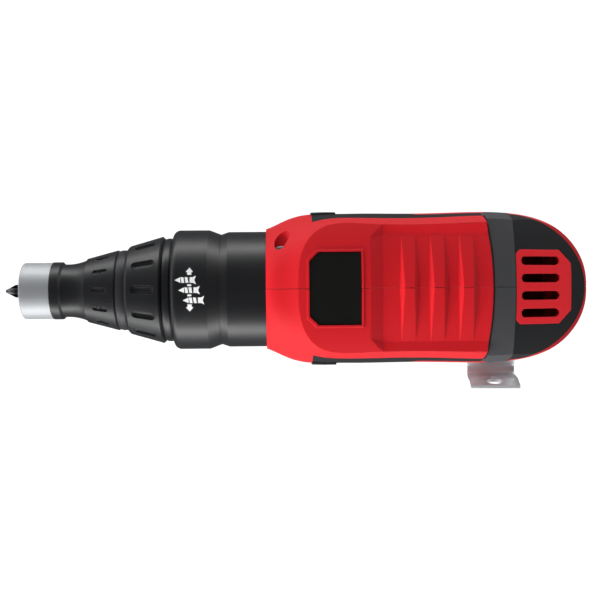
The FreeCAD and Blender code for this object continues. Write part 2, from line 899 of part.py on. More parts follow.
def bearing_plate():
    spigot = case_bore_radius - plate_spigot_wall_gap
    plate = rod_x(x_plate_front, x_case_rear, spigot, axis)
    plate = plate.fuse(rod_x(x_case_rear, x_plate_rear, plate_flange_radius, axis))
    x_step = x_plate_front + gear_bearing_length
    plate = plate.cut(rod_x(x_plate_front - overrun, x_step, gear_bearing_outer, axis))
    plate = plate.cut(rod_x(x_step - overrun, x_plate_rear + overrun, spindle_tail_radius + tail_room, axis))
    pinion_tip = gear_module * (pinion_teeth / 2 + addendum_share) + slide_fit
    plate = plate.cut(rod_x(x_plate_front - overrun, x_plate_rear + overrun, pinion_tip, motor_axis))
    x_motor_seat = x_plate_rear - front_bearing_length
    plate = plate.cut(rod_x(x_motor_seat, x_plate_rear + overrun, front_bearing_outer, motor_axis))
    holes = case_screw_holes()
    for x, z in tie_places():
        holes.append(rod_y(tie_seat - tie_length, tie_seat + overrun, screw_radius, x, z))
        holes.append(rod_y(tie_seat - tie_wall, far, boss_radius + seat_fit, x, z))
    return plate.cut(holes)


def tie_places():
    x_tie = x_case_rear + tie_lip + boss_radius
    return ((x_tie, axis + tie_level), (x_tie, axis - tie_level))


def case_screws():
    shank = rod_x(x_plate_rear - case_screw_length, x_plate_rear, case_screw_radius, axis)
    head = rod_x(x_plate_rear, x_plate_rear + case_screw_head_height, case_screw_head_radius, axis)
    screw = shank.fuse(head)
    screw.translate(V(0, 0, case_screw_circle))
    return group(case_screw_pairs(screw))


# Drive

def dog_ring(start, end, first):
    whole = tube_x(start, end, dog_outer_radius, dog_inner_radius, axis)
    span = 360.0 / dog_count * dog_share
    far_out = dog_outer_radius * 2
    wedge = outline([
        V(start - overrun, 0, axis),
        V(start - overrun, far_out * sin(radians(-span / 2)), axis + far_out * cos(radians(span / 2))),
        V(start - overrun, far_out * sin(radians(span / 2)), axis + far_out * cos(radians(span / 2))),
    ]).extrude(V(end - start + 2 * overrun, 0, 0))
    return [whole.common(turn) for turn in around(wedge, dog_count, axis, first)]


def spindle():
    body = rod_x(x_spindle_front, x_flange_front, spindle_radius, axis)
    flange = rod_x(x_flange_front, x_dog_root, spindle_flange_radius, axis)
    tail = rod_x(x_dog_root, x_dog_root + spindle_tail_length, spindle_tail_radius, axis)
    x_end = x_holder_front + holder_length
    socket = hexagon_rod(x_spindle_front - overrun, x_end, hexagon_size + 2 * hexagon_fit, axis)
    whole = fused([body, flange, tail] + dog_ring(x_dog_root, x_dog_root + dog_length, 0.0))
    return whole.cut(socket)


def spindle_bush():
    x_tube = x_collar_front - nose_tube_length
    bore = spindle_radius + bearing_fit
    return tube_x(x_tube, x_tube + bush_length, spindle_radius + bush_wall, bore, axis)


def clutch_gear():
    wheel = gear(gear_module, gear_teeth, x_gear_front, x_gear_rear, axis)
    shoulder = rod_x(x_gear_rear, x_gear_rear + gear_hub_shoulder, gear_hub_shoulder_radius, axis)
    hub = rod_x(x_gear_rear, x_plate_front + gear_bearing_length, gear_hub_radius, axis)
    dogs = dog_ring(x_gear_front - dog_length, x_gear_front, 180.0 / dog_count)
    whole = fused([wheel, shoulder, hub] + dogs)
    room = clutch_spring_wire + spring_recess_wall
    recess = tube_x(x_gear_front - dog_length - overrun, x_gear_front + spring_recess_depth,
                    clutch_spring_radius + room, clutch_spring_radius - room, axis)
    bore = rod_x(x_gear_front - overrun, x_plate_rear, spindle_tail_radius + bearing_fit, axis)
    return whole.cut(recess).cut(bore)


def clutch_spring():
    length = x_gear_front + spring_recess_depth - x_dog_root
    return spring(V(x_dog_root, 0, axis), V(1, 0, 0), V(0, 1, 0), clutch_spring_radius, clutch_spring_wire,
                  length, clutch_spring_turns)


def motor_shaft():
    rear = x_rear_bearing + rear_bearing_length + shaft_rear_stub
    pinion = gear(gear_module, pinion_teeth, x_gear_front - pinion_overhang, x_plate_front, motor_axis)
    return pinion.fuse(rod_x(x_plate_front, rear, shaft_radius, motor_axis))


def rotor_core():
    outer = stator_bore_radius - air_gap - magnet_wall
    return tube_x(x_stator, x_stator_rear, outer, shaft_radius, motor_axis)


def rotor_magnets():
    outer = stator_bore_radius - air_gap
    ring = tube_x(x_stator, x_stator_rear, outer, outer - magnet_wall, motor_axis)
    gap = pi * outer * magnet_gap_share / magnet_count
    slot = block((x_stator - overrun, -gap, motor_axis),
                 (x_stator_rear + overrun, gap, motor_axis + 2 * outer))
    for cut in around(slot, magnet_count, motor_axis):
        ring = ring.cut(cut)
    return ring


def stator_tooth(start, end, half_width, inner, outer):
    return block((start, -half_width, motor_axis + inner), (end, half_width, motor_axis + outer))


def stator_core():
    inner_yoke = stator_radius - stator_yoke
    yoke = tube_x(x_stator, x_stator_rear, stator_radius, inner_yoke, motor_axis)
    shoe = stator_bore_radius + stator_shoe
    shoe_ring = tube_x(x_stator, x_stator_rear, shoe, stator_bore_radius, motor_axis)
    opening = pi * stator_bore_radius * (1 - stator_shoe_share) / stator_teeth
    gap = stator_tooth(x_stator - overrun, x_stator_rear + overrun, opening, 0, inner_yoke)
    shoe_ring = shoe_ring.cut(group(around(gap, stator_teeth, motor_axis, 180.0 / stator_teeth)))
    tooth = stator_tooth(x_stator, x_stator_rear, stator_tooth_width / 2,
                         stator_bore_radius + stator_shoe / 2, inner_yoke + stator_yoke / 2)
    return fused([yoke, shoe_ring] + around(tooth, stator_teeth, motor_axis))


def stator_insulators():
    inner_yoke = stator_radius - stator_yoke
    rings = []
    for start in (x_stator - insulator_length, x_stator_rear):
        end = start + insulator_length
        outer = tube_x(start, end, inner_yoke + insulator_rim, inner_yoke, motor_axis)
        inner = tube_x(start, end, stator_bore_radius + stator_shoe, stator_bore_radius, motor_axis)
        tooth = stator_tooth(start, end, stator_tooth_width / 2, stator_bore_radius + stator_shoe / 2,
                             inner_yoke + insulator_rim / 2)
        rings.append(fused([outer, inner] + around(tooth, stator_teeth, motor_axis)))
    post_level = motor_axis + inner_yoke + insulator_rim / 2
    post = rod_x(x_stator_rear + insulator_length, x_board, sensor_post_radius, post_level)
    rings[-1] = fused([rings[-1]] + around(post, sensor_post_count, motor_axis, 180.0 / stator_teeth))
    return group(rings)


def stator_windings():
    inner = stator_bore_radius + stator_shoe + seat_fit
    outer = stator_radius - stator_yoke - seat_fit
    half_tooth = stator_tooth_width / 2 + seat_fit
    start = x_stator - insulator_length - seat_fit
    end = x_stator_rear + insulator_length + seat_fit
    coil = stator_tooth(start - winding_height, end + winding_height, half_tooth + winding_width,
                        inner, outer)
    upright = [edge for edge in coil.Edges if abs(edge.tangentAt(edge.FirstParameter).z) > cos(pi / 4)]
    coil = coil.makeFillet(winding_round, upright)
    coil = coil.cut(stator_tooth(start, end, half_tooth, 0, stator_radius))
    coil = coil.common(rod_x(start - winding_height, end + winding_height, outer, motor_axis))
    return group(around(coil, stator_teeth, motor_axis))


def cooling_fan():
    plate = tube_x(x_fan, x_fan + fan_plate, fan_radius, shaft_radius, motor_axis)
    hub = tube_x(x_fan, x_fan + fan_length, fan_hub_radius, shaft_radius, motor_axis)
    blade = block((x_fan, -fan_blade / 2, motor_axis + fan_hub_radius - fan_blade),
                  (x_fan + fan_length, fan_blade / 2, motor_axis + fan_radius - fan_blade))
    blade.rotate(V(0, 0, motor_axis + fan_hub_radius), V(1, 0, 0), fan_blade_lean)
    blades = group(around(blade, fan_blade_count, motor_axis))
    swept = tube_x(x_fan, x_fan + fan_length, fan_radius, shaft_radius + fan_blade, motor_axis)
    blades = blades.common(swept)
    return fused([plate, hub] + blades.Solids)


def sensor_board():
    x_rear_face = x_board + sensor_board_thickness
    return tube_x(x_board, x_rear_face, sensor_board_radius, sensor_board_bore, motor_axis)


def gear_bearing():
    inner = gear_hub_radius + bearing_fit
    return bearing(x_plate_front, gear_bearing_length, gear_bearing_outer, inner, axis)


def front_bearing():
    start = x_plate_rear - front_bearing_length
    return bearing(start, front_bearing_length, front_bearing_outer, shaft_radius + bearing_fit, motor_axis)


def rear_bearing():
    inner = shaft_radius + bearing_fit
    return bearing(x_rear_bearing, rear_bearing_length, rear_bearing_outer, inner, motor_axis)


# Housing

def between(share, low, high):
    return low + share * (high - low)


def barrel(inset):
    rim = front_rim_radius - inset
    width = barrel_half_width - inset
    crest = barrel_crest - inset
    keel = barrel_keel - inset
    sections = []
    for along, wide, high, low in fairing_shares:
        middle = axis - between(wide, 0, barrel_mid_drop)
        upper = between(wide, 2, barrel_roundness)
        lower = between(wide, 2, keel_roundness)
        rise = axis + between(high, rim, crest) - middle
        drop = middle - axis + between(low, rim, keel)
        x = x_front + along * fairing_length
        sections.append(upright_section(x, between(wide, rim, width), middle, rise, drop, upper, lower))
    middle = axis - barrel_mid_drop
    rise = crest + barrel_mid_drop
    drop = keel - barrel_mid_drop
    for along in barrel_shares:
        x = x_front + along * barrel_length
        sections.append(upright_section(x, width, middle, rise, drop, barrel_roundness, keel_roundness))
    for turn in dome_shares:
        angle = turn * pi / 2
        x = x_dome + (dome_length - inset) * sin(angle)
        squat = cos(angle)
        sections.append(upright_section(x, width * squat, middle, rise * squat, drop * squat,
                                        barrel_roundness, keel_roundness))
    return Part.makeLoft(sections, True, False)


def crown_face(x, level, radius):
    # everything above an arc that crosses the tool, at one place along it
    reach = far
    sag = radius - sqrt(radius * radius - reach * reach)
    left = V(x, -reach, level - sag)
    right = V(x, reach, level - sag)
    arc = Part.Arc(left, V(x, 0, level), right).toShape()
    lift = V(0, 0, far)
    sides = [Part.makeLine(right, right + lift), Part.makeLine(right + lift, left + lift),
             Part.makeLine(left + lift, left)]
    return Part.Face(Part.Wire([arc] + sides))


def above_crown(inset):
    whole = crown_face(x_front - overrun, crown_level - inset, crown_radius)
    return whole.extrude(V(x_rear - x_front + 2 * overrun, 0, 0))


def panel_reach(inset):
    # the red panel's extent seen from above: it ends in a wide bow at the rear
    middle = x_front + cap_front - cap_bow_radius
    return rod_z(axis, crown_level + far, cap_bow_radius - inset, middle, 0)


def above_cap(inset):
    face = crown_face(x_front, cap_level - inset, crown_radius)
    return face.extrude(V(x_rear - x_front + overrun, 0, 0)).cut(panel_reach(inset))


def above_slope(inset):
    # the cap's crown, carried down the rear slope
    down = V(cos(radians(rear_slope)), 0, -sin(radians(rear_slope)))
    return crown_face(x_crease, cap_level - inset, crown_radius).extrude(down * far)


def shaped_barrel(inset):
    return barrel(inset).cut([above_crown(inset), above_cap(inset), above_slope(inset)])


def grip(inset):
    sections = []
    for along, length, width in grip_shares:
        z = grip_top - along * grip_length
        middle = between(along, grip_top_x, grip_foot_x)
        sections.append(level_section(z, middle, grip_half_length * length - inset,
                                      grip_half_width * width - inset, grip_roundness))
    return Part.makeLoft(sections, True, False)


def foot(inset):
    sections = []
    for height, length, width, middle in foot_shares:
        z = foot_bottom + height * (foot_height - inset)
        sections.append(level_section(z, foot_middle_x * middle, foot_half_length * length - inset,
                                      foot_half_width * width - inset, foot_roundness))
    return Part.makeLoft(sections, True, False)


def hook_pads():
    low = (hook_x - hook_pad_half_length, -hook_pad_reach, hook_pad_level)
    high = (hook_x + hook_pad_half_length, hook_pad_reach, hook_pad_level + hook_pad_height)
    pad = block(low, high)
    upright = [edge for edge in pad.Edges if abs(edge.tangentAt(edge.FirstParameter).y) > cos(pi / 4)]
    return pad.makeFillet(hook_pad_height / 6, upright)


def battery_channel():
    x_open = foot_middle_x - foot_half_length - overrun
    neck = block((x_open, -channel_neck_half_width, foot_bottom - overrun),
                 (channel_rear, channel_neck_half_width, foot_bottom + channel_lip))
    head = block((x_open, -channel_half_width, foot_bottom + channel_lip),
                 (channel_rear, channel_half_width, channel_top))
    return neck.fuse(head)


def stator_ribs():
    ribs = []
    rib = stator_length / 6
    room = block((0, -far, grip_top - grip_top_level), (rib, far, axis + far))
    for start in (x_stator + rib / 2, x_stator_rear - rib - rib / 2):
        slab = room.copy()
        slab.translate(V(start, 0, 0))
        seat = rod_x(start - overrun, start + rib + overrun, stator_radius + seat_fit, motor_axis)
        ribs.append(slab.cut(seat))
    slab = block((x_rear_bearing, -far, motor_axis - 2 * rear_bearing_outer),
                 (x_rear_bearing + rear_bearing_length, far, motor_axis + 2 * rear_bearing_outer))
    seat = rod_x(x_rear_bearing - overrun, x_rear_bearing + rear_bearing_length + overrun,
                 rear_bearing_outer + seat_fit, motor_axis)
    ribs.append(slab.cut(seat))
    return ribs


def switch_shelves():
    top = switch_bottom + switch_height
    x_end = grip_foot_x + grip_half_length
    lower = block((-grip_half_length, -far, switch_bottom - switch_shelf), (x_end, far, switch_bottom))
    upper = block((switch_front, -far, top), (x_end, far, top + switch_shelf))
    return [lower, upper]


def housing_cavity():
    room = shaped_barrel(housing_wall)
    front = block((x_front - overrun, -far, 0), (x_front + front_wall_length, far, 2 * axis))
    room = room.cut(front)
    inner_foot = foot(housing_wall)
    floor = block((-far - overrun, -far, 0), (far + overrun, far, channel_top + channel_floor))
    inner_foot = inner_foot.cut(floor)
    room = room.multiFuse([grip(housing_wall), inner_foot])
    bosses = [rod_y(-far, far, boss_radius, x, z) for x, z in boss_places]
    return room.cut(group(stator_ribs() + switch_shelves())).cut(group(bosses))


def front_bores():
    case = rod_x(x_front - overrun, x_case_rear, gear_case_radius + seat_fit, axis)
    plate = rod_x(x_case_rear, x_plate_rear + seat_fit, plate_flange_radius + seat_fit, axis)
    heads = rod_x(x_plate_rear, x_front + front_wall_length + overrun, plate_flange_radius, axis)
    bosses = [rod_y(tie_seat - tie_wall, far, boss_radius, x, z) for x, z in tie_places()]
    return [case.cut(bosses), plate.cut(bosses), heads.cut(bosses)]


def screw_holes():
    holes = []
    for x, z in boss_places:
        holes.append(rod_y(screw_seat - screw_length, screw_seat + overrun, screw_radius, x, z))
        holes.append(rod_y(screw_seat, far, counterbore_radius, x, z))
    for x, z in tie_places():
        holes.append(rod_y(tie_seat - tie_length, tie_seat + overrun, screw_radius, x, z))
        holes.append(rod_y(tie_seat, far, counterbore_radius, x, z))
    return holes


def badge_outline(gap):
    front = x_front + badge_front + gap
    rear = x_front + badge_front + badge_length - gap
    side = badge_half_width - gap
    return [(front, -side + badge_corner), (front, side - badge_corner), (front + badge_corner, side),
            (rear, side), (rear, -side), (front + badge_corner, -side)]


def badge_recess_tool():
    return prism_z(badge_outline(0), axis, crown_level + overrun).common(above_crown(badge_recess))


def badge_rim():
    rim = prism_z(badge_outline(-badge_rim_width), axis, crown_level + overrun)
    return rim.cut(above_crown(-badge_rim_height))


def badge_plate():
    plate = prism_z(badge_outline(badge_gap), axis, crown_level + overrun)
    return plate.common(above_crown(badge_recess)).cut(above_crown(badge_recess - badge_thickness))


def crown_height_at(level, y):
    return level - crown_radius + sqrt(crown_radius * crown_radius - y * y)


def under_plane(first, second, third):
    # everything below the plane through three points
    across = (second - first).normalize()
    down = across.cross(third - first).normalize()
    if down.z > 0:
        down = -down
    along = across.cross(down)
    across, along, down = across * 2 * far, along * 2 * far, down * 2 * far
    corners = [first - across - along, first + across - along, first + across + along, first - across + along]
    return outline(corners).extrude(down)


def louvre_field():
    # shallow field let into the crowned face, its walls sloped, with ridges left standing in it
    x_start = x_front + field_front
    x_floor = x_start + field_slope_length
    x_end = x_front + cap_front
    floor_level = crown_level - field_depth
    slope = crown_face(x_start, crown_level, crown_radius).extrude(V(field_slope_length, 0, -field_depth))
    floor = crown_face(x_floor, floor_level, crown_radius).extrude(V(x_end - x_floor, 0, 0))
    field = slope.fuse(floor)
    walls = []
    for sign in (1, -1):
        foot_z = crown_height_at(floor_level, field_half_width)
        edge = V(x_start, sign * field_side, crown_height_at(crown_level, field_side))
        walls.append(under_plane(V(x_start, sign * field_half_width, foot_z),
                                 V(x_end, sign * field_half_width, foot_z), edge))
        inner = field_side - field_corner
        walls.append(under_plane(edge + V(field_corner, 0, 0),
                                 V(x_start, sign * inner, crown_height_at(crown_level, inner)),
                                 V(x_floor, sign * field_half_width, foot_z)))
    ridges = []
    for k in range(ridge_count):
        ridges += ridge(x_front + ridge_first + k * ridge_pitch)
    return field.cut(walls + ridges)


def ridge(x):
    # highest at the middle plane and falling evenly to the floor on both sides
    halves = []
    for sign in (1, -1):
        sections = []
        for share in ridge_shares:
            y = sign * share * field_half_width
            foot = crown_height_at(crown_level - field_depth, y)
            top = foot + (1 - share) * field_depth
            half_top = ridge_top_width / 2 + share * ridge_taper
            front = x - ridge_top_width / 2 - between(share, ridge_front_slope, ridge_taper)
            rear = x + ridge_top_width / 2 + between(share, ridge_rear_slope, ridge_taper)
            profile = [(front, foot - overrun), (front, foot), (x - half_top, top), (x + half_top, top),
                       (rear, foot), (rear, foot - overrun)]
            points = [V(along, y, z) for along, z in profile]
            sections.append(Part.makePolygon(points + points[:1]))
        halves.append(Part.makeLoft(sections, True, False))
    return halves


def cover_region():
    x_cap = x_front + cap_front
    x_skirt = x_cap + cap_side_length
    x_strip = x_front + strip_front
    x_climb = x_front + strip_climb_start
    strip = prism_y([
        (x_strip, axis - strip_bottom_front),
        (x_strip, axis + strip_top_front),
        (x_skirt, axis + strip_top_rear),
        (x_skirt, axis + strip_bottom_rear),
        (x_climb + strip_climb_length, axis + strip_bottom_rear),
        (x_climb, axis - strip_bottom_front),
    ], -far, far)
    cap = prism_y([
        (x_cap - cap_side_length, axis + strip_bottom_rear),
        (x_cap - cap_side_length, axis + far),
        (x_rear + overrun, axis + far),
        (x_rear + overrun, axis + cap_edge_rear),
        (x_skirt, axis + cap_edge_front),
        (x_skirt, axis - cap_skirt),
        (x_cap, axis - cap_skirt),
        (x_cap, axis + strip_bottom_rear),
    ], -far, far)
    return strip.fuse(cap.cut(panel_reach(0)))


def bumpers():
    x_strip = x_front + strip_front
    region = block((x_strip, -far, axis - strip_bottom_front),
                   (x_strip + bumper_length, far, axis + bumper_top))
    return region.common(barrel(-bumper_proud)).cut(barrel(cover_thickness / 2))


def panel_groove():
    outer = panel_reach(-panel_groove_width).cut(panel_reach(0))
    upper = block((x_front, -far, axis + strip_top_rear), (x_rear, far, crown_level + far))
    return outer.common(upper).cut(shaped_barrel(panel_groove_depth))


def vent_outline(gap):
    start = x_crease + vent_front * cos(radians(rear_slope)) + gap
    end = start + vent_length * cos(radians(rear_slope)) - 2 * gap
    side = vent_half_width - gap
    corner = vent_corner / 3
    return [(start, -side + corner), (start, side - corner), (start + corner, side),
            (end - vent_corner, side), (end, side - vent_corner), (end, -side + vent_corner),
            (end - vent_corner, -side), (start + corner, -side)]


def vent_opening():
    opening = prism_z(vent_outline(0), axis, crown_level + overrun)
    return opening.common(above_slope(vent_thickness)).fuse(vent_duct())


def vent_duct():
    # the air's way through the housing wall, inside the grille's rim
    return prism_z(vent_outline(vent_thickness), axis, crown_level)


def vent_grille():
    plate = prism_z(vent_outline(vent_gap), axis, crown_level + overrun)
    plate = plate.common(above_slope(vent_thickness)).cut(above_slope(0))
    slots = []
    start = x_crease + (vent_front + vent_slot_front) * cos(radians(rear_slope)) + vent_slot_width / 2
    end = start + vent_slot_length * cos(radians(rear_slope)) - vent_slot_width
    for k in range(vent_slot_count):
        side = (k - (vent_slot_count - 1) / 2) * vent_slot_pitch
        box = block((start, side - vent_slot_width / 2, axis),
                    (end, side + vent_slot_width / 2, crown_level + overrun))
        ends = [rod_z(axis, crown_level + overrun, vent_slot_width / 2, x, side) for x in (start, end)]
        slots.append(fused([box] + ends))
    return plate.cut(group(slots))


def grip_cover_region():
    top = grip_top - grip_cover_top_share * grip_length
    bottom = grip_top - grip_cover_bottom_share * grip_length
    inward = grip_cover_front - grip_half_length
    front_top = between(grip_cover_top_share, grip_top_x, grip_foot_x) + inward
    front_bottom = between(grip_cover_bottom_share, grip_top_x, grip_foot_x) + inward
    rear = grip_foot_x + 2 * grip_half_length
    return prism_y([(front_top, top), (rear, top), (rear, bottom), (front_bottom, bottom)], -far, far)


def trigger_opening():
    half = trigger_width / 2 + slide_fit
    low = trigger_bottom - slide_fit
    high = trigger_bottom + trigger_height + slide_fit
    return block((-far, -half, low), (switch_front, half, high))


def button_openings():
    direction = rod_y(-far, far, direction_radius + slide_fit, direction_x, axis - direction_level)
    lock = rod_y(-far, -switch_half_width, lock_radius + slide_fit, lock_x, lock_z)
    return [direction, lock]


def insert_holes():
    x, z = hook_screw_place()
    return [rod_y(hook_pad_reach - insert_length, far, insert_radius, x, z),
            rod_y(-far, insert_length - hook_pad_reach, insert_radius, x, z)]


def half_space(side):
    low = (x_point - overrun, 0, -overrun)
    high = (x_rear + far, far, 2 * axis)
    right = block(low, high)
    return right if side > 0 else mirrored(right)


def split_groove():
    band = block((x_front - overrun, -split_groove_width / 2, axis),
                 (x_rear + overrun, split_groove_width / 2, 2 * axis))
    return band.cut(shaped_barrel(split_groove_depth))


def housing_parts():
    outer_barrel = shaped_barrel(0)
    outer = outer_barrel.multiFuse([grip(0), foot(0), hook_pads(), badge_rim()])
    tools = [housing_cavity(), battery_channel(), badge_recess_tool(), louvre_field(), vent_opening(),
             trigger_opening(), split_groove(), panel_groove()]
    tools += front_bores() + screw_holes() + button_openings() + insert_holes()
    cover = cover_region().cut(shaped_barrel(cover_thickness))
    grip_cover = grip_cover_region().cut(grip(cover_thickness))
    grip_cover = grip_cover.cut(outer_barrel)
    pads = bumpers()
    parts = {}
    for name, side in (("right", 1), ("left", -1)):
        # copies, so that no piece shares a face with one that is cut later
        half = outer.copy().common(half_space(side)).cut([tool.copy() for tool in tools])
        parts["housing_" + name] = half.copy().cut(cover.copy()).cut(grip_cover.copy())
        strip = half.copy().common(cover.copy())
        parts["soft_cover_" + name] = strip.fuse(pads.common(half_space(side))).removeSplitter()
        parts["grip_cover_" + name] = half.common(grip_cover.copy())
    return parts


def pan_screw(seat, length, x, z, radius, head_radius, head_height):
    shank = rod_y(seat - length, seat, radius, x, z)
    return shank.fuse(rod_y(seat, seat + head_height, head_radius, x, z))


def housing_screws():
    screws = [pan_screw(screw_seat, screw_length, x, z, screw_radius, screw_head_radius, screw_head_height)
              for x, z in boss_places]
    return group(screws)


def tie_screws():
    screws = [pan_screw(tie_seat, tie_length, x, z, screw_radius, screw_head_radius, screw_head_height)
              for x, z in tie_places()]
    return group(screws)


# Belt hook

def hook_screw_place():
    return hook_x, hook_pad_level + hook_pad_height / 2


def belt_hook():
    x, z = hook_screw_place()
    seat = hook_pad_reach
    corners = [(seat, z + hook_tab_height / 2), (seat, z - hook_tab_height / 2)]
    steps = ((hook_slope_reach, -hook_slope_drop), (hook_web, 0), (hook_wall_reach, hook_wall_height),
             (hook_lip_reach, hook_lip_height))
    for reach, climb in steps:
        corners.append((corners[-1][0] + reach, corners[-1][1] + climb))
    points = [V(0, -reach, height) for reach, height in corners]
    sheet = bent_strip(points, hook_sheet, hook_width)
    sheet.translate(V(x - hook_width / 2, 0, 0))
    cuts = [rod_y(-far, 0, thread_radius + slide_fit, x, z)]
    slope_middle = (points[1] + points[2]) / 2
    slot_front = x - hook_slot_shift - hook_slot_length / 2
    cuts.append(block((slot_front, slope_middle.y - 2 * hook_sheet, slope_middle.z - hook_slot_width / 2),
                      (slot_front + hook_slot_length, slope_middle.y + 2 * hook_sheet,
                       slope_middle.z + hook_slot_width / 2)))
    lip_middle = (points[-1] + points[-2]) / 2
    cuts.append(rod_y(lip_middle.y - 2 * hook_sheet, lip_middle.y + 2 * hook_sheet, hook_hole_radius,
                      x, lip_middle.z))
    sheet = sheet.cut(group(cuts))
    sheet.rotate(V(x, 0, z), V(0, 1, 0), -hook_lean)
    return sheet


def bent_strip(points, thickness, width):
    # a strip of sheet along a line of corners, its bends rounded on both faces
    edges = []
    begin = points[0]
    for before, corner, after in zip(points, points[1:], points[2:]):
        back = (before - corner).normalize()
        ahead = (after - corner).normalize()
        half_turn = acos(back.dot(ahead)) / 2
        radius = hook_bend + thickness
        room = radius / tan(half_turn)
        bisector = (back + ahead).normalize()
        apex = corner + bisector * (radius / sin(half_turn) - radius)
        edges.append(Part.makeLine(begin, corner + back * room))
        edges.append(Part.Arc(corner + back * room, apex, corner + ahead * room).toShape())
        begin = corner + ahead * room
    edges.append(Part.makeLine(begin, points[-1]))
    line = Part.Wire(edges)
    face = line.makeOffset2D(thickness, 0, True, True)
    return face.extrude(V(width, 0, 0))


def hook_screw():
    x, z = hook_screw_place()
    seat = hook_pad_reach + hook_sheet
    return mirrored(pan_screw(seat, hook_screw_length, x, z, thread_radius, hook_screw_head_radius,
                              hook_screw_head_height))


def hook_inserts():
    x, z = hook_screw_place()
    sleeve = rod_y(hook_pad_reach - insert_length, hook_pad_reach, insert_radius, x, z)
    bore = rod_y(hook_pad_reach - insert_length - overrun, hook_pad_reach + overrun, thread_radius, x, z)
    sleeve = sleeve.cut(bore)
    return group([sleeve, mirrored(sleeve)])


# Controls

def grip_front(z):
    along = (grip_top - z) / grip_length
    return between(along, grip_top_x, grip_foot_x) - grip_half_length


def trigger():
    low = trigger_bottom
    high = trigger_bottom + trigger_height
    middle = (low + high) / 2
    front = grip_front(middle) - trigger_reach
    rear = switch_front - trigger_travel - slide_fit
    edges = [
        Part.Arc(V(front, 0, high), V(front + trigger_dish, 0, middle), V(front, 0, low)).toShape(),
        Part.makeLine(V(front, 0, low), V(rear, 0, low)),
        Part.makeLine(V(rear, 0, low), V(rear, 0, high)),
        Part.makeLine(V(rear, 0, high), V(front, 0, high)),
    ]
    head = Part.Face(Part.Wire(edges)).extrude(V(0, trigger_width, 0))
    head.translate(V(0, -trigger_width / 2, 0))
    front_edges = [edge for edge in head.Edges if edge.BoundBox.XMax < front + trigger_dish + seat_fit
                   and edge.BoundBox.YLength < seat_fit]
    head = head.makeFillet(trigger_dish, front_edges)
    plunger = rod_x(rear, switch_front + plunger_depth - trigger_travel, plunger_radius, middle)
    return head.fuse(plunger)


def switch_module():
    low = (switch_front, -switch_half_width, switch_bottom)
    high = (switch_front + switch_length, switch_half_width, switch_bottom + switch_height)
    middle = trigger_bottom + trigger_height / 2
    bore = rod_x(switch_front - overrun, switch_front + plunger_depth + slide_fit,
                 plunger_radius + slide_fit, middle)
    return block(low, high).cut(bore)


def trigger_spring():
    middle = trigger_bottom + trigger_height / 2
    start = switch_front - trigger_travel - slide_fit
    return spring(V(start, 0, middle), V(1, 0, 0), V(0, 1, 0), trigger_spring_radius, trigger_spring_wire,
                  switch_front - start, trigger_spring_turns)


def direction_button():
    level = axis - direction_level
    return rod_y(-direction_half_length, direction_half_length, direction_radius, direction_x, level)


def lock_button():
    inner = switch_half_width + lock_travel + slide_fit
    return rod_y(-lock_outer, -inner, lock_radius, lock_x, lock_z)


def controller():
    z = channel_top + channel_floor
    low = (controller_x - controller_length / 2, -controller_half_width, z)
    return block(low, (controller_x + controller_length / 2, controller_half_width, z + controller_height))


def terminal_block():
    base = block((terminal_front, -terminal_half_width, channel_top - terminal_height),
                 (channel_rear, terminal_half_width, channel_top))
    pieces = [base]
    for side in (-terminal_blade_spread, terminal_blade_spread):
        z = channel_top - terminal_height / 2
        half = terminal_blade_thickness / 2
        rise = terminal_blade_height / 2
        pieces.append(block((terminal_front - terminal_blade_length, side - half, z - rise),
                            (terminal_front, side + half, z + rise)))
    return fused(pieces)


# Battery

def battery_shell(low, high, inset):
    half = battery_length / 2 - inset
    side = battery_half_width - inset
    body = block((-half, -side, low), (half, side, high))
    upright = [edge for edge in body.Edges if abs(edge.tangentAt(edge.FirstParameter).z) > cos(pi / 4)]
    return body.makeFillet(battery_corner - inset, upright)


def battery_case():
    case = battery_shell(0, battery_split, 0)
    rim = [edge for edge in case.Edges if edge.BoundBox.ZMax < seat_fit]
    case = case.makeChamfer(battery_edge / 2, rim)
    case = case.cut(battery_shell(battery_floor, battery_split + overrun, battery_wall))
    case = fused([case] + battery_posts(battery_floor / 2, battery_split))
    return case.cut(battery_screw_holes()).removeSplitter()


def rail():
    rear = channel_rear - rail_fit
    front = foot_middle_x - foot_half_length
    neck_top = foot_bottom + channel_lip + rail_fit
    neck = block((front, rail_fit - channel_neck_half_width, battery_body_height - battery_wall),
                 (rear, channel_neck_half_width - rail_fit, neck_top))
    head = block((front, rail_fit - channel_half_width, neck_top),
                 (rear, channel_half_width - rail_fit, channel_top - rail_fit))
    pocket_side = terminal_half_width + rail_fit
    pocket = block((terminal_front - rail_fit, -pocket_side, channel_top - terminal_height - rail_fit),
                   (rear + overrun, pocket_side, channel_top + overrun))
    whole = neck.fuse(head).cut(pocket)
    slots = []
    for side in (-terminal_blade_spread, terminal_blade_spread):
        z = channel_top - terminal_height / 2
        half = contact_thickness / 2 + terminal_blade_thickness + rail_fit
        slots.append(block((terminal_front - terminal_blade_length - rail_fit, side - half,
                            z - terminal_blade_height / 2 - rail_fit),
                           (terminal_front, side + half, channel_top)))
    return whole.cut(group(slots))


def battery_lid():
    lid = battery_shell(battery_split, battery_body_height, 0)
    rim = [edge for edge in lid.Edges if edge.BoundBox.ZMin > battery_body_height - seat_fit]
    lid = lid.makeChamfer(battery_edge / 2, rim)
    lid = lid.cut(battery_shell(battery_split - overrun, battery_body_height - battery_wall, battery_wall))
    lid = lid.fuse(rail())
    pockets = [latch_pocket(side) for side in (1, -1)]
    walls = [latch_pocket_wall(side) for side in (1, -1)]
    posts = battery_posts(battery_split, battery_body_height - battery_wall / 2)
    return fused([lid] + walls + posts).cut(pockets + battery_screw_holes()).removeSplitter()


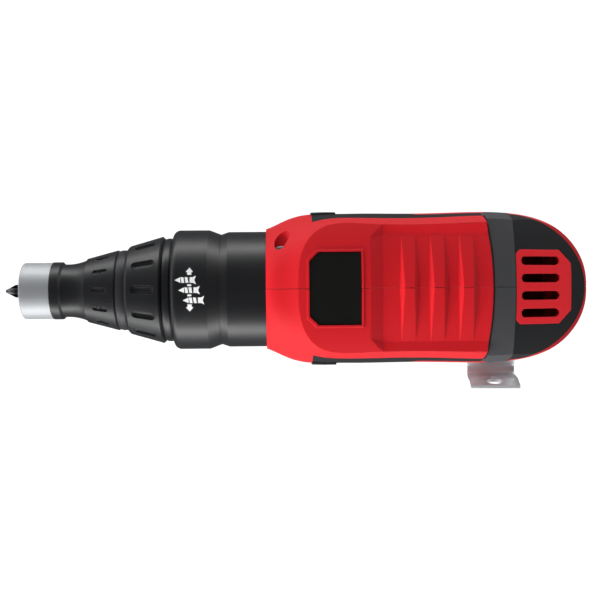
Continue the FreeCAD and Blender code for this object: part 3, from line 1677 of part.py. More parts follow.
def latch_box(side, inner, outer, grow):
    x = -battery_length / 2 + latch_front
    low = (x - grow, inner, latch_level - latch_height / 2 - grow)
    high = (x + latch_length + grow, outer, latch_level + latch_height / 2 + grow)
    box = block(low, high)
    return box if side > 0 else mirrored(box)


def latch_pocket(side):
    return latch_box(side, battery_half_width - latch_pocket_depth, battery_half_width + overrun, slide_fit)


def latch_pocket_wall(side):
    inner = battery_half_width - latch_pocket_depth - battery_wall
    wall = latch_box(side, inner, battery_half_width - battery_wall / 2, slide_fit + battery_wall)
    return wall.common(battery_shell(battery_split, battery_body_height, battery_wall / 2))


def latch(side):
    return latch_box(side, battery_half_width - latch_thickness, battery_half_width + latch_proud, 0)


def latch_springs():
    x = -battery_length / 2 + latch_front + latch_length / 2
    base = V(x, battery_half_width - latch_pocket_depth, latch_level)
    coil = spring(base, V(0, 1, 0), V(1, 0, 0), latch_spring_radius, latch_spring_wire,
                  latch_pocket_depth - latch_thickness, latch_spring_turns)
    return coil, mirrored(coil)


def battery_cells():
    pitch = 2 * cell_radius + cell_gap
    cells = []
    for row in range(cell_rows):
        for column in range(cell_columns):
            x = (column - (cell_columns - 1) / 2) * pitch
            z = battery_floor + cell_lift + cell_radius + row * pitch
            cells.append(rod_y(-cell_length / 2, cell_length / 2, cell_radius, x, z))
    return group(cells)


def cell_top():
    return battery_floor + 2 * cell_lift + cell_rows * (2 * cell_radius + cell_gap) - cell_gap


def battery_board():
    z = cell_top()
    return block((-board_length / 2, -board_half_width, z),
                 (board_length / 2, board_half_width, z + board_thickness))


def battery_contacts():
    clips = []
    z = channel_top - terminal_height / 2
    for spread in (-terminal_blade_spread, terminal_blade_spread):
        gap = terminal_blade_thickness / 2 + rail_fit / 2
        for sign in (-1, 1):
            side = spread + sign * (gap + contact_thickness / 2)
            clips.append(block((terminal_front - terminal_blade_length, side - contact_thickness / 4,
                                z - terminal_blade_height / 2 - rail_fit),
                               (terminal_front - rail_fit, side + contact_thickness / 4,
                                z + terminal_blade_height / 2)))
    return group(clips)


def battery_corners():
    x = battery_length / 2 - battery_screw_inset
    y = battery_half_width - battery_screw_inset
    return ((-x, -y), (-x, y), (x, -y), (x, y))


def battery_posts(low, high):
    return [rod_z(low, high, battery_post_radius, x, y) for x, y in battery_corners()]


def battery_screw_holes():
    top = battery_screw_sink + battery_screw_length
    holes = [rod_z(battery_screw_sink, top, screw_radius, x, y) for x, y in battery_corners()]
    sinks = [rod_z(-overrun, battery_screw_sink, screw_head_radius, x, y) for x, y in battery_corners()]
    return holes + sinks


def battery_screws():
    screws = []
    top = battery_screw_sink + battery_screw_length
    for x, y in battery_corners():
        shank = rod_z(battery_screw_sink, top, screw_radius, x, y)
        head = rod_z(battery_screw_sink - screw_head_height, battery_screw_sink, screw_head_radius, x, y)
        screws.append(shank.fuse(head))
    return group(screws)


def all_parts():
    spring_right, spring_left = latch_springs()
    parts = {
        "screw_bit": screw_bit(),
        "bit_holder": bit_holder(),
        "holder_magnet": holder_magnet(),
        "nose_tip": nose_tip(),
        "depth_stop": depth_stop(),
        "depth_carrier": depth_carrier(),
        "depth_ring": depth_ring(),
        "ring_seal": ring_seal(),
        "detent_balls": detent_balls(),
        "detent_springs": detent_springs(),
        "nose_collar": nose_collar(),
        "gear_case": gear_case(),
        "gear_case_screws": case_screws(),
        "bearing_plate": bearing_plate(),
        "tie_screws": tie_screws(),
        "spindle": spindle(),
        "spindle_bush": spindle_bush(),
        "clutch_gear": clutch_gear(),
        "clutch_spring": clutch_spring(),
        "gear_bearing": gear_bearing(),
        "motor_shaft": motor_shaft(),
        "rotor_core": rotor_core(),
        "rotor_magnets": rotor_magnets(),
        "front_bearing": front_bearing(),
        "rear_bearing": rear_bearing(),
        "cooling_fan": cooling_fan(),
        "stator_core": stator_core(),
        "stator_insulators": stator_insulators(),
        "stator_windings": stator_windings(),
        "sensor_board": sensor_board(),
        "badge_plate": badge_plate(),
        "vent_grille": vent_grille(),
        "housing_screws": housing_screws(),
        "belt_hook": belt_hook(),
        "hook_screw": hook_screw(),
        "hook_inserts": hook_inserts(),
        "trigger": trigger(),
        "trigger_spring": trigger_spring(),
        "switch_module": switch_module(),
        "direction_button": direction_button(),
        "lock_button": lock_button(),
        "controller": controller(),
        "terminal_block": terminal_block(),
        "battery_case": battery_case(),
        "battery_lid": battery_lid(),
        "battery_cells": battery_cells(),
        "battery_board": battery_board(),
        "battery_contacts": battery_contacts(),
        "battery_screws": battery_screws(),
        "latch_right": latch(1),
        "latch_left": latch(-1),
        "latch_spring_right": spring_right,
        "latch_spring_left": spring_left,
    }
    parts.update(housing_parts())
    return parts


os.makedirs("parts", exist_ok=True)
for name, shape in all_parts().items():
    shape.exportStep("parts/" + name + ".step")
    print(name, len(shape.Solids), shape.isValid(), round(shape.Volume))
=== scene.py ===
import bmesh
import bpy
from math import atan2, degrees, hypot, pi, radians
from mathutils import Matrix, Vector


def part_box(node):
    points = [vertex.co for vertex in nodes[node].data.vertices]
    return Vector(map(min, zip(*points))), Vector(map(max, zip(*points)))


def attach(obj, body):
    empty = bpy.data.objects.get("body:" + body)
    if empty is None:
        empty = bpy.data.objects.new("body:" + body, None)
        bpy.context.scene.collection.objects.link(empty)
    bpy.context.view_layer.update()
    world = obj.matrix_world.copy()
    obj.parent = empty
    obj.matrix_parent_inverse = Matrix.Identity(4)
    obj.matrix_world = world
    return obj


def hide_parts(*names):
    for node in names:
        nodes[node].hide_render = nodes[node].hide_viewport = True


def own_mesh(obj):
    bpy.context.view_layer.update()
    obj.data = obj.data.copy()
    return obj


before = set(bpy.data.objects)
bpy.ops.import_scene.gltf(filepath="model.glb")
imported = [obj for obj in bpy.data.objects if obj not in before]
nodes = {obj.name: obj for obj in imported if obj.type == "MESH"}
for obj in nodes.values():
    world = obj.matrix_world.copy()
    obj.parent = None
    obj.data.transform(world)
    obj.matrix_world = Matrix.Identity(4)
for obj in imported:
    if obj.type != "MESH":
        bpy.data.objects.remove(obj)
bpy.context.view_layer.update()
mm = 0.001
print("frame loaded:", len(nodes), "CAD nodes")

perMetre = 1000   # divided by a size in mm, this gives a pattern's scale
colourA, colourB, mixedColour = 6, 7, 2   # numbers of a Mix node's colour sockets
# what the finishes share: detail of the noises, height of a full bump in mm, samples of a rounded
# edge, and the cosines of an edge's turn between which it goes from plain to painted lighter,
# partly rubbed wear and partly a painted highlight
skin = {"grainDetail": 2.0, "cloudDetail": 3.0, "grainBump": 0.3, "ribBump": 0.5, "lineBump": 0.1,
        "edgeSamples": 4, "sheenAndWearStart": 0.995, "sheenAndWearFull": 0.8}


def linearColour(hexCode):
    channels = [int(hexCode[i:i + 2], 16) / 255 for i in (0, 2, 4)]
    return [c / 12.92 if c <= 0.04045 else ((c + 0.055) / 1.055) ** 2.4 for c in channels] + [1.0]


# adds one node; a setting goes to the socket of that name or number, or else to the node itself
def addNode(tree, kind, settings, links=None):
    node = tree.nodes.new(kind)
    for name, value in settings.items():
        if isinstance(name, int) or name in node.inputs:
            node.inputs[name].default_value = value
        else:
            setattr(node, name, value)
    for name, source in (links or {}).items():
        tree.links.new(source, node.inputs[name])
    return node


def newMaterial(name):
    material = bpy.data.materials.new(name)
    material.use_nodes = True
    tree = material.node_tree
    shader = tree.nodes["Principled BSDF"]
    place = addNode(tree, "ShaderNodeTexCoord", {}).outputs["Object"]
    return material, tree, shader, place


# 1 behind the start of the dome's rim and outside a leaning oval round the dome, 0 elsewhere
def outsideRim(tree, place, rim):
    long, wide = rim["long"] * mm, rim["wide"] * mm
    middle = (rim["middle"] + rim["lean"] * rim["level"]) * mm / long
    spot = addNode(tree, "ShaderNodeSeparateXYZ", {}, {0: place})
    aft = addNode(tree, "ShaderNodeVectorMath",
                  {"operation": "DOT_PRODUCT", 1: (1 / long, 0, rim["lean"] / long)}, {0: place})
    aft = addNode(tree, "ShaderNodeMath", {"operation": "SUBTRACT", 1: middle},
                  {0: aft.outputs["Value"]})
    aft = addNode(tree, "ShaderNodeMath", {"operation": "POWER", 1: 2.0}, {0: aft.outputs[0]})
    aside = addNode(tree, "ShaderNodeMath", {"operation": "DIVIDE", 1: wide},
                    {0: spot.outputs["Y"]})
    aside = addNode(tree, "ShaderNodeMath", {"operation": "POWER", 1: 2.0}, {0: aside.outputs[0]})
    reach = addNode(tree, "ShaderNodeMath", {"operation": "ADD"},
                    {0: aft.outputs[0], 1: aside.outputs[0]})
    outside = addNode(tree, "ShaderNodeMath", {"operation": "GREATER_THAN", 1: 1.0},
                      {0: reach.outputs[0]})
    behind = addNode(tree, "ShaderNodeMath", {"operation": "GREATER_THAN", 1: rim["start"] * mm},
                     {0: spot.outputs["X"]})
    shown = addNode(tree, "ShaderNodeMath", {"operation": "MULTIPLY"},
                    {0: outside.outputs[0], 1: behind.outputs[0]})
    return shown.outputs[0]


# Injection-moulded plastics and rubbers: spark-eroded grain, a faint cloudiness from the flow of
# the melt, and edges painted lighter than the flats, partly as rubbed wear and partly as a painted
# highlight.
def mouldedPlastic(name, look):
    material, tree, shader, place = newMaterial(name)
    grain = addNode(tree, "ShaderNodeTexNoise",
                    {"Scale": perMetre / look["grainMm"], "Detail": skin["grainDetail"]},
                    {"Vector": place})
    cloud = addNode(tree, "ShaderNodeTexNoise",
                    {"Scale": perMetre / look["cloudMm"], "Detail": skin["cloudDetail"]},
                    {"Vector": place})
    tone = addNode(tree, "ShaderNodeMix",
                   {"data_type": "RGBA", colourA: linearColour(look["colour"]),
                    colourB: linearColour(look["cloudColour"])}, {0: cloud.outputs[0]})
    if "band" in look:   # a paler stretch between two places along the tool
        front, rear = look["band"]
        middle, half = (front + rear) / 2 * mm, (rear - front) / 2 * mm
        along = addNode(tree, "ShaderNodeSeparateXYZ", {}, {0: place}).outputs["X"]
        inBand = addNode(tree, "ShaderNodeMath", {"operation": "COMPARE", 1: middle, 2: half},
                         {0: along})
        tone = addNode(tree, "ShaderNodeMix",
                       {"data_type": "RGBA", colourB: linearColour(look["bandColour"])},
                       {0: inBand.outputs[0], colourA: tone.outputs[mixedColour]})
    if "rim" in look:   # outside the dome's rim the shell's colour shows instead
        shown = outsideRim(tree, place, look["rim"])
        tone = addNode(tree, "ShaderNodeMix",
                       {"data_type": "RGBA", colourB: linearColour(look["rim"]["colour"])},
                       {0: shown, colourA: tone.outputs[mixedColour]})
    roundedEdge = addNode(tree, "ShaderNodeBevel",
                          {"samples": skin["edgeSamples"], "Radius": look["edgeMm"] * mm})
    face = addNode(tree, "ShaderNodeNewGeometry", {})
    turn = addNode(tree, "ShaderNodeVectorMath", {"operation": "DOT_PRODUCT"},
                   {0: roundedEdge.outputs[0], 1: face.outputs["Normal"]})
    # edges are painted lighter than the flats: partly rubbed wear, partly a painted highlight
    sheenAndWear = addNode(tree, "ShaderNodeMapRange",
                  {"From Min": skin["sheenAndWearStart"], "From Max": skin["sheenAndWearFull"],
                   "To Min": 0.0, "To Max": look["edgeSheenAndWear"]}, {"Value": turn.outputs["Value"]})
    sheenedAndWornEdge = addNode(tree, "ShaderNodeMix",
                   {"data_type": "RGBA", colourB: linearColour(look["edgeSheenAndWearColour"])},
                   {0: sheenAndWear.outputs[0], colourA: tone.outputs[mixedColour]})
    bump = addNode(tree, "ShaderNodeBump",
                   {"Strength": look["grainDepth"], "Distance": skin["grainBump"] * mm},
                   {"Height": grain.outputs[0], "Normal": roundedEdge.outputs[0]})
    if "ribMm" in look:   # shallow ribs across the grip; a wave of scale 1 repeats every pi / 10
        ribs = addNode(tree, "ShaderNodeTexWave",
                       {"wave_type": "BANDS", "bands_direction": "Z",
                        "Scale": pi / 10 * perMetre / look["ribMm"]}, {"Vector": place})
        bump = addNode(tree, "ShaderNodeBump",
                       {"Strength": look["ribDepth"], "Distance": skin["ribBump"] * mm},
                       {"Height": ribs.outputs["Fac"], "Normal": bump.outputs[0]})
    smoothest, roughest = look["roughness"]
    gloss = addNode(tree, "ShaderNodeMapRange", {"To Min": smoothest, "To Max": roughest},
                    {"Value": cloud.outputs[0]})
    shader.inputs["IOR"].default_value = look["ior"]
    shader.inputs["Specular IOR Level"].default_value = look["specular"]
    tree.links.new(sheenedAndWornEdge.outputs[mixedColour], shader.inputs["Base Color"])
    tree.links.new(gloss.outputs[0], shader.inputs["Roughness"])
    tree.links.new(bump.outputs[0], shader.inputs["Normal"])
    return material


# Metals: tool marks run as fine lines along the directions that linesMm leaves long.
def workedMetal(name, look):
    material, tree, shader, place = newMaterial(name)
    along = addNode(tree, "ShaderNodeMapping",
                    {"Scale": [perMetre / size for size in look["linesMm"]]}, {"Vector": place})
    lines = addNode(tree, "ShaderNodeTexNoise", {"Scale": 1.0, "Detail": skin["grainDetail"]},
                    {"Vector": along.outputs[0]})
    cloud = addNode(tree, "ShaderNodeTexNoise",
                    {"Scale": perMetre / look["cloudMm"], "Detail": skin["cloudDetail"]},
                    {"Vector": place})
    tone = addNode(tree, "ShaderNodeMix",
                   {"data_type": "RGBA", colourA: linearColour(look["colour"]),
                    colourB: linearColour(look["cloudColour"])}, {0: cloud.outputs[0]})
    roundedEdge = addNode(tree, "ShaderNodeBevel",
                          {"samples": skin["edgeSamples"], "Radius": look["edgeMm"] * mm})
    bump = addNode(tree, "ShaderNodeBump",
                   {"Strength": look["lineDepth"], "Distance": skin["lineBump"] * mm},
                   {"Height": lines.outputs[0], "Normal": roundedEdge.outputs[0]})
    smoothest, roughest = look["roughness"]
    gloss = addNode(tree, "ShaderNodeMapRange", {"To Min": smoothest, "To Max": roughest},
                    {"Value": lines.outputs[0]})
    shader.inputs["Metallic"].default_value = look.get("metallic", 1.0)
    tree.links.new(tone.outputs[mixedColour], shader.inputs["Base Color"])
    tree.links.new(gloss.outputs[0], shader.inputs["Roughness"])
    tree.links.new(bump.outputs[0], shader.inputs["Normal"])
    return material


# ABS housing shells, moulded in red: half-gloss skin with a fine even grain. The grain is about
# 0.3 mm on the real one and is drawn coarser, so that it shows.
redAbs = mouldedPlastic("red moulded ABS", {
    "colour": "CE1D24", "cloudColour": "D6222A", "edgeSheenAndWearColour": "E2454C", "edgeSheenAndWear": 0.3,
    "edgeMm": 0.5, "grainMm": 0.9, "grainDepth": 0.05, "cloudMm": 40.0,
    "roughness": (0.42, 0.52), "ior": 1.54, "specular": 0.15})
# the air grille is a moulding of its own; its red is painted brighter than the shells' as painted
# light, standing in for the light that falls on the rear slope
paintedBrightGrilleAbs = mouldedPlastic("red moulded ABS painted lighter", {
    "colour": "FF2C36", "cloudColour": "FF3039", "edgeSheenAndWearColour": "FF6065", "edgeSheenAndWear": 0.3,
    "edgeMm": 0.4, "grainMm": 0.9, "grainDepth": 0.05, "cloudMm": 25.0,
    "roughness": (0.42, 0.52), "ior": 1.54, "specular": 0.12})
# glass-filled nylon of the nose: near black, satin, with a rougher grain than the red shells
blackNylon = mouldedPlastic("black glass-filled nylon", {
    "colour": "0C0C0E", "cloudColour": "111113", "edgeSheenAndWearColour": "3C3C3E", "edgeSheenAndWear": 0.45,
    "edgeMm": 0.35, "grainMm": 0.9, "grainDepth": 0.10, "cloudMm": 20.0,
    "roughness": (0.30, 0.42), "ior": 1.53, "specular": 0.7})
# the same nylon with less pigment, on the band that shows between cone and ring
greyNylon = mouldedPlastic("grey nylon", {
    "colour": "242427", "cloudColour": "2B2B2E", "edgeSheenAndWearColour": "4A4A4C", "edgeSheenAndWear": 0.4,
    "edgeMm": 0.3, "grainMm": 0.9, "grainDepth": 0.08, "cloudMm": 20.0,
    "roughness": (0.34, 0.45), "ior": 1.53, "specular": 0.5})
# thermoplastic rubber moulded over the shells: dull, near black, with edges painted lighter,
# partly dust and partly a painted highlight, and paler on the smooth band in front of the crease;
# along the dome's rim the red shell shows as a thin line (places and sizes of band and rim in mm)
softTpe = mouldedPlastic("overmoulded soft rubber", {
    "colour": "19191B", "cloudColour": "1F1F21", "edgeSheenAndWearColour": "5A5A5E", "edgeSheenAndWear": 0.4,
    "band": (8.0, 20.6), "bandColour": "434345",
    "rim": {"colour": "CE1D24", "start": 22.0, "middle": 20.4, "level": 205.0, "lean": 0.29,
            "long": 40.4, "wide": 33.9},
    "edgeMm": 0.5, "grainMm": 1.1, "grainDepth": 0.16, "cloudMm": 18.0,
    "roughness": (0.55, 0.68), "ior": 1.5, "specular": 0.3})
# the same rubber on the grip, moulded with shallow ribs that give the hand a hold
ribbedTpe = mouldedPlastic("ribbed soft rubber", {
    "colour": "19191B", "cloudColour": "1F1F21", "edgeSheenAndWearColour": "5A5A5E", "edgeSheenAndWear": 0.4,
    "ribMm": 3.6, "ribDepth": 0.7,
    "edgeMm": 0.5, "grainMm": 1.1, "grainDepth": 0.16, "cloudMm": 18.0,
    "roughness": (0.55, 0.68), "ior": 1.5, "specular": 0.3})
# battery case and hidden black mouldings: plain black ABS
blackAbs = mouldedPlastic("black moulded ABS", {
    "colour": "1B1B1D", "cloudColour": "232325", "edgeSheenAndWearColour": "515153", "edgeSheenAndWear": 0.4,
    "edgeMm": 0.5, "grainMm": 1.0, "grainDepth": 0.10, "cloudMm": 30.0,
    "roughness": (0.4, 0.52), "ior": 1.54, "specular": 0.5})
# acetal of trigger and buttons: slippery, with an even satin shine
blackAcetal = mouldedPlastic("black acetal", {
    "colour": "141416", "cloudColour": "19191B", "edgeSheenAndWearColour": "3C3C3E", "edgeSheenAndWear": 0.4,
    "edgeMm": 0.5, "grainMm": 0.8, "grainDepth": 0.04, "cloudMm": 15.0,
    "roughness": (0.26, 0.36), "ior": 1.48, "specular": 0.5})
# acrylic badge plate: polished black with almost no grain
blackAcrylic = mouldedPlastic("polished black acrylic", {
    "colour": "0B0C08", "cloudColour": "10110D", "edgeSheenAndWearColour": "2A2A28", "edgeSheenAndWear": 0.3,
    "edgeMm": 0.3, "grainMm": 2.0, "grainDepth": 0.01, "cloudMm": 12.0,
    "roughness": (0.14, 0.2), "ior": 1.49, "specular": 0.5})
# lacquered glass-fibre boards: green, glossy
boardLacquer = mouldedPlastic("lacquered circuit board", {
    "colour": "1C5A2C", "cloudColour": "27703A", "edgeSheenAndWearColour": "B8A870", "edgeSheenAndWear": 0.6,
    "edgeMm": 0.3, "grainMm": 1.5, "grainDepth": 0.06, "cloudMm": 4.0,
    "roughness": (0.2, 0.4), "ior": 1.55, "specular": 0.5})
# shrink wrap on the cells: blue, smooth and half-gloss
cellWrap = mouldedPlastic("heat-shrink cell wrap", {
    "colour": "2C6E8E", "cloudColour": "34789A", "edgeSheenAndWearColour": "6FA4BC", "edgeSheenAndWear": 0.3,
    "edgeMm": 0.3, "grainMm": 2.0, "grainDepth": 0.03, "cloudMm": 12.0,
    "roughness": (0.3, 0.4), "ior": 1.53, "specular": 0.5})

# free-cutting steel, turned and tumbled dull: pale, with fine rings round the axis (0.1 mm feed,
# drawn at 0.5 mm so that it shows)
turnedSteel = workedMetal("turned bright steel", {
    "colour": "BEC0C2", "cloudColour": "C8CACC", "metallic": 0.75, "linesMm": (0.5, 60.0, 60.0),
    "lineDepth": 0.03, "edgeMm": 0.3, "cloudMm": 8.0, "roughness": (0.5, 0.58)})
# zinc-plated sheet and springs: pale grey, faintly cloudy from the bath, dulled and made bluish by
# its passivation
zincSteel = workedMetal("zinc-plated steel", {
    "colour": "E4EAEC", "cloudColour": "ECF1F3", "metallic": 0.75, "linesMm": (3.0, 0.6, 3.0),
    "lineDepth": 0.05, "edgeMm": 0.35, "cloudMm": 5.0, "roughness": (0.26, 0.4)})
# zinc-flake coat of the screws: darker and plainer than the sheet's plating
screwSteel = workedMetal("zinc-flake screw steel", {
    "colour": "74787A", "cloudColour": "808486", "linesMm": (2.0, 2.0, 2.0),
    "lineDepth": 0.04, "edgeMm": 0.2, "cloudMm": 3.0, "roughness": (0.35, 0.48)})
# hardened and blackened steel of bit and spindle: oily dark grey
blackenedSteel = workedMetal("blackened tool steel", {
    "colour": "4A4A4C", "cloudColour": "5C5C5E", "linesMm": (0.6, 8.0, 8.0),
    "lineDepth": 0.10, "edgeMm": 0.2, "cloudMm": 3.0, "roughness": (0.3, 0.42)})
# stacked electrical sheet: 0.5 mm laminations, drawn at 0.9 mm so that they show
laminatedSteel = workedMetal("laminated electrical steel", {
    "colour": "6A6A6C", "cloudColour": "7A7A7C", "linesMm": (0.9, 200.0, 200.0),
    "lineDepth": 0.6, "edgeMm": 0.2, "cloudMm": 10.0, "roughness": (0.4, 0.55)})
# nickel coat on the magnets: warm silver
nickelMagnet = workedMetal("nickel-plated magnet", {
    "colour": "A8A49A", "cloudColour": "B6B2A8", "linesMm": (4.0, 4.0, 4.0),
    "lineDepth": 0.03, "edgeMm": 0.2, "cloudMm": 6.0, "roughness": (0.2, 0.3)})
# die-cast aluminium: dull silver with a sandy skin
castAluminium = workedMetal("die-cast aluminium", {
    "colour": "9FA1A3", "cloudColour": "B0B2B4", "linesMm": (0.8, 0.8, 0.8),
    "lineDepth": 0.25, "edgeMm": 0.5, "cloudMm": 10.0, "roughness": (0.45, 0.6)})
# sintered bronze bush and brass inserts: dull yellow, slightly porous
sinteredBronze = workedMetal("sintered bronze", {
    "colour": "A57C40", "cloudColour": "B58C50", "linesMm": (0.5, 0.5, 0.5),
    "lineDepth": 0.2, "edgeMm": 0.2, "cloudMm": 4.0, "roughness": (0.35, 0.5)})
# enamelled copper wire of the coils: warm red, 0.8 mm wires lying side by side; the battery's
# contacts have the same colour
copperWire = workedMetal("enamelled copper wire", {
    "colour": "A8552C", "cloudColour": "B96636", "linesMm": (60.0, 0.8, 0.8),
    "lineDepth": 0.8, "edgeMm": 0.3, "cloudMm": 6.0, "roughness": (0.3, 0.4)})

finishOf = {
    redAbs: ["housing_right", "housing_left", "latch_right", "latch_left"],
    paintedBrightGrilleAbs: ["vent_grille"],
    blackNylon: ["depth_stop", "depth_ring", "nose_collar", "gear_case", "ring_seal"],
    greyNylon: ["depth_carrier"],
    softTpe: ["soft_cover_right", "soft_cover_left"],
    ribbedTpe: ["grip_cover_right", "grip_cover_left"],
    blackAbs: ["battery_case", "battery_lid", "switch_module", "controller", "terminal_block",
               "cooling_fan", "stator_insulators"],
    blackAcetal: ["trigger", "direction_button", "lock_button"],
    blackAcrylic: ["badge_plate"],
    boardLacquer: ["sensor_board", "battery_board"],
    cellWrap: ["battery_cells"],
    turnedSteel: ["nose_tip", "bit_holder", "detent_balls", "gear_bearing", "front_bearing",
                  "rear_bearing"],
    zincSteel: ["belt_hook", "detent_springs", "clutch_spring", "trigger_spring",
                "latch_spring_right", "latch_spring_left"],
    screwSteel: ["hook_screw", "housing_screws", "tie_screws", "battery_screws",
                 "gear_case_screws"],
    blackenedSteel: ["screw_bit", "spindle", "clutch_gear", "motor_shaft"],
    laminatedSteel: ["stator_core", "rotor_core"],
    nickelMagnet: ["rotor_magnets", "holder_magnet"],
    castAluminium: ["bearing_plate"],
    sinteredBronze: ["spindle_bush", "hook_inserts"],
    copperWire: ["stator_windings", "battery_contacts"],
}
for finish, names in finishOf.items():
    for name in names:
        nodes[name].data.materials.clear()
        nodes[name].data.materials.append(finish)
print("finishes laid on", sum(len(names) for names in finishOf.values()), "nodes")

squareOn = 0.9   # a face looks along an axis when its normal has more than this of it


def startPiece():
    if bpy.context.object and bpy.context.object.mode != "OBJECT":
        bpy.ops.object.mode_set(mode="OBJECT")
    bpy.ops.object.select_all(action="DESELECT")


# in edit mode, selects the vertices, edges or faces that pass a test
def selectBy(piece, kind, test):
    bpy.ops.mesh.select_mode(type=kind)
    bpy.ops.mesh.select_all(action="DESELECT")
    shape = bmesh.from_edit_mesh(piece.data)
    for item in {"VERT": shape.verts, "EDGE": shape.edges, "FACE": shape.faces}[kind]:
        item.select_set(bool(test(item)))
    bmesh.update_edit_mesh(piece.data)


# turns all faces outwards, leaves edit mode and keeps only edges past an angle in degrees sharp
def smoothPiece(sharpAngle):
    bpy.ops.mesh.select_all(action="SELECT")
    bpy.ops.mesh.normals_make_consistent(inside=False)
    bpy.ops.object.mode_set(mode="OBJECT")
    bpy.ops.object.shade_smooth_by_angle(angle=radians(sharpAngle))


# puts a piece's place into its mesh, names it and hands it to its body
def finishPiece(piece, name, finish, body, slot, *standsFor):
    startPiece()
    piece.select_set(True)
    bpy.context.view_layer.objects.active = piece
    bpy.ops.object.transform_apply(location=True, rotation=True, scale=True)
    piece.name = piece.data.name = name
    piece.data.materials.clear()
    piece.data.materials.append(finish)
    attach(piece, body)
    if standsFor:
        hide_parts(*standsFor)


# what all screws share: dome and top as shares of the head's height, the tip as a share of the
# length, how far the corners between two lobes are drawn in, counted from a lobe's tip, and the
# reach that takes in the whole rim of the recess
screwShape = {"sides": 36, "dome": 0.55, "domeSteps": 4, "top": 0.99, "tip": 0.1, "tipWidth": 0.4,
              "lobes": 6, "drawnIn": {1: 0.96, 2: 0.86, 3: 0.78}, "recessReach": 1.03,
              "sharpAngle": 35}


# thread-forming screw with a domed head and a six-lobed recess: it stands along +Z, seat at 0
def starScrew(look):
    headRadius, headHeight = look["headRadius"] * mm, look["headHeight"] * mm
    shankRadius, length = look["shankRadius"] * mm, look["length"] * mm
    recess, depth = look["recessRadius"] * mm, look["recessDepth"] * mm
    dome = headHeight * screwShape["dome"]
    nearTop = headHeight * screwShape["top"]
    tipWidth = screwShape["tipWidth"]
    startPiece()
    bpy.ops.mesh.primitive_cylinder_add(vertices=screwShape["sides"], radius=headRadius,
                                        depth=headHeight, location=(0, 0, headHeight / 2))
    screw = bpy.context.object
    bpy.ops.object.transform_apply(location=True)
    bpy.ops.object.mode_set(mode="EDIT")
    selectBy(screw, "FACE", lambda face: face.normal.z < -squareOn)
    bpy.ops.mesh.inset(thickness=headRadius - shankRadius)
    for share in (1 - screwShape["tip"], screwShape["tip"]):   # the shank, then its tip
        bpy.ops.mesh.extrude_region_move(TRANSFORM_OT_translate={"value": (0, 0, -length * share)})
    bpy.ops.transform.resize(value=(tipWidth, tipWidth, 1), center_override=(0, 0, -length))
    selectBy(screw, "EDGE", lambda edge: all(v.co.z > nearTop for v in edge.verts))
    bpy.ops.mesh.bevel(offset=dome, segments=screwShape["domeSteps"], affect="EDGES")
    selectBy(screw, "FACE", lambda face: face.normal.z > squareOn
             and face.calc_center_median().z > nearTop)
    bpy.ops.mesh.inset(thickness=headRadius - dome - recess)
    # every sixth corner of the recess is the tip of a lobe, those between are drawn in
    cornersPerLobe = screwShape["sides"] // screwShape["lobes"]
    cornerTurn = 360 / screwShape["sides"]
    recessEdge = recess * screwShape["recessReach"]
    cornerOf = lambda v: round(degrees(atan2(v.co.y, v.co.x)) / cornerTurn) % cornersPerLobe
    inRecess = lambda v: v.co.z > nearTop and hypot(v.co.x, v.co.y) < recessEdge
    for step, share in screwShape["drawnIn"].items():
        bothSides = (step, cornersPerLobe - step)
        selectBy(screw, "VERT", lambda v: inRecess(v) and cornerOf(v) in bothSides)
        bpy.ops.transform.resize(value=(share, share, 1), center_override=(0, 0, headHeight))
    selectBy(screw, "FACE", lambda face: all(inRecess(v) for v in face.verts))
    bpy.ops.mesh.extrude_region_move(TRANSFORM_OT_translate={"value": (0, 0, -depth)})
    smoothPiece(screwShape["sharpAngle"])
    return screw


# one screw is modelled for each set and copied to every place of the set; sizes and seats in mm
smallHead = {"headRadius": 3.0, "headHeight": 2.2, "shankRadius": 1.5, "recessRadius": 1.45,
             "recessDepth": 1.3}
screwPlan = {
    "housing_screws": {
        **smallHead, "length": 18.0, "body": "tool", "turn": -90,
        "seats": [(2, 8, 180), (47, 8, 200), (36, 8, 160), (40, 8, 103), (-32, 8, 77),
                  (52, 8, 85)]},
    "tie_screws": {
        **smallHead, "length": 7.0, "body": "tool", "turn": -90,
        "seats": [(-82.7, 17, 228.3), (-82.7, 17, 181.7)]},
    "hook_screw": {
        "headRadius": 4.0, "headHeight": 2.4, "shankRadius": 1.65, "recessRadius": 1.9,
        "recessDepth": 1.5, "length": 9.0, "body": "tool", "turn": 90,
        "seats": [(46.9, -41, 71.5)]},
    "battery_screws": {
        **smallHead, "length": 38.0, "body": "battery", "turn": 180,
        "seats": [(-50, -29.5, 4), (-50, 29.5, 4), (50, -29.5, 4), (50, 29.5, 4)]},
}
for setName, look in screwPlan.items():
    model = starScrew(look)
    for count, seat in enumerate(look["seats"]):
        startPiece()
        model.select_set(True)
        bpy.context.view_layer.objects.active = model
        bpy.ops.object.duplicate(linked=False)
        screw = bpy.context.object
        screw.rotation_euler = (radians(look["turn"]), 0, 0)
        screw.location = [place * mm for place in seat]
        finishPiece(screw, setName + "_" + str(count + 1), screwSteel, look["body"], "zinc_steel",
                    setName)
    bpy.data.objects.remove(model)
print("screws set:", sum(len(look["seats"]) for look in screwPlan.values()))

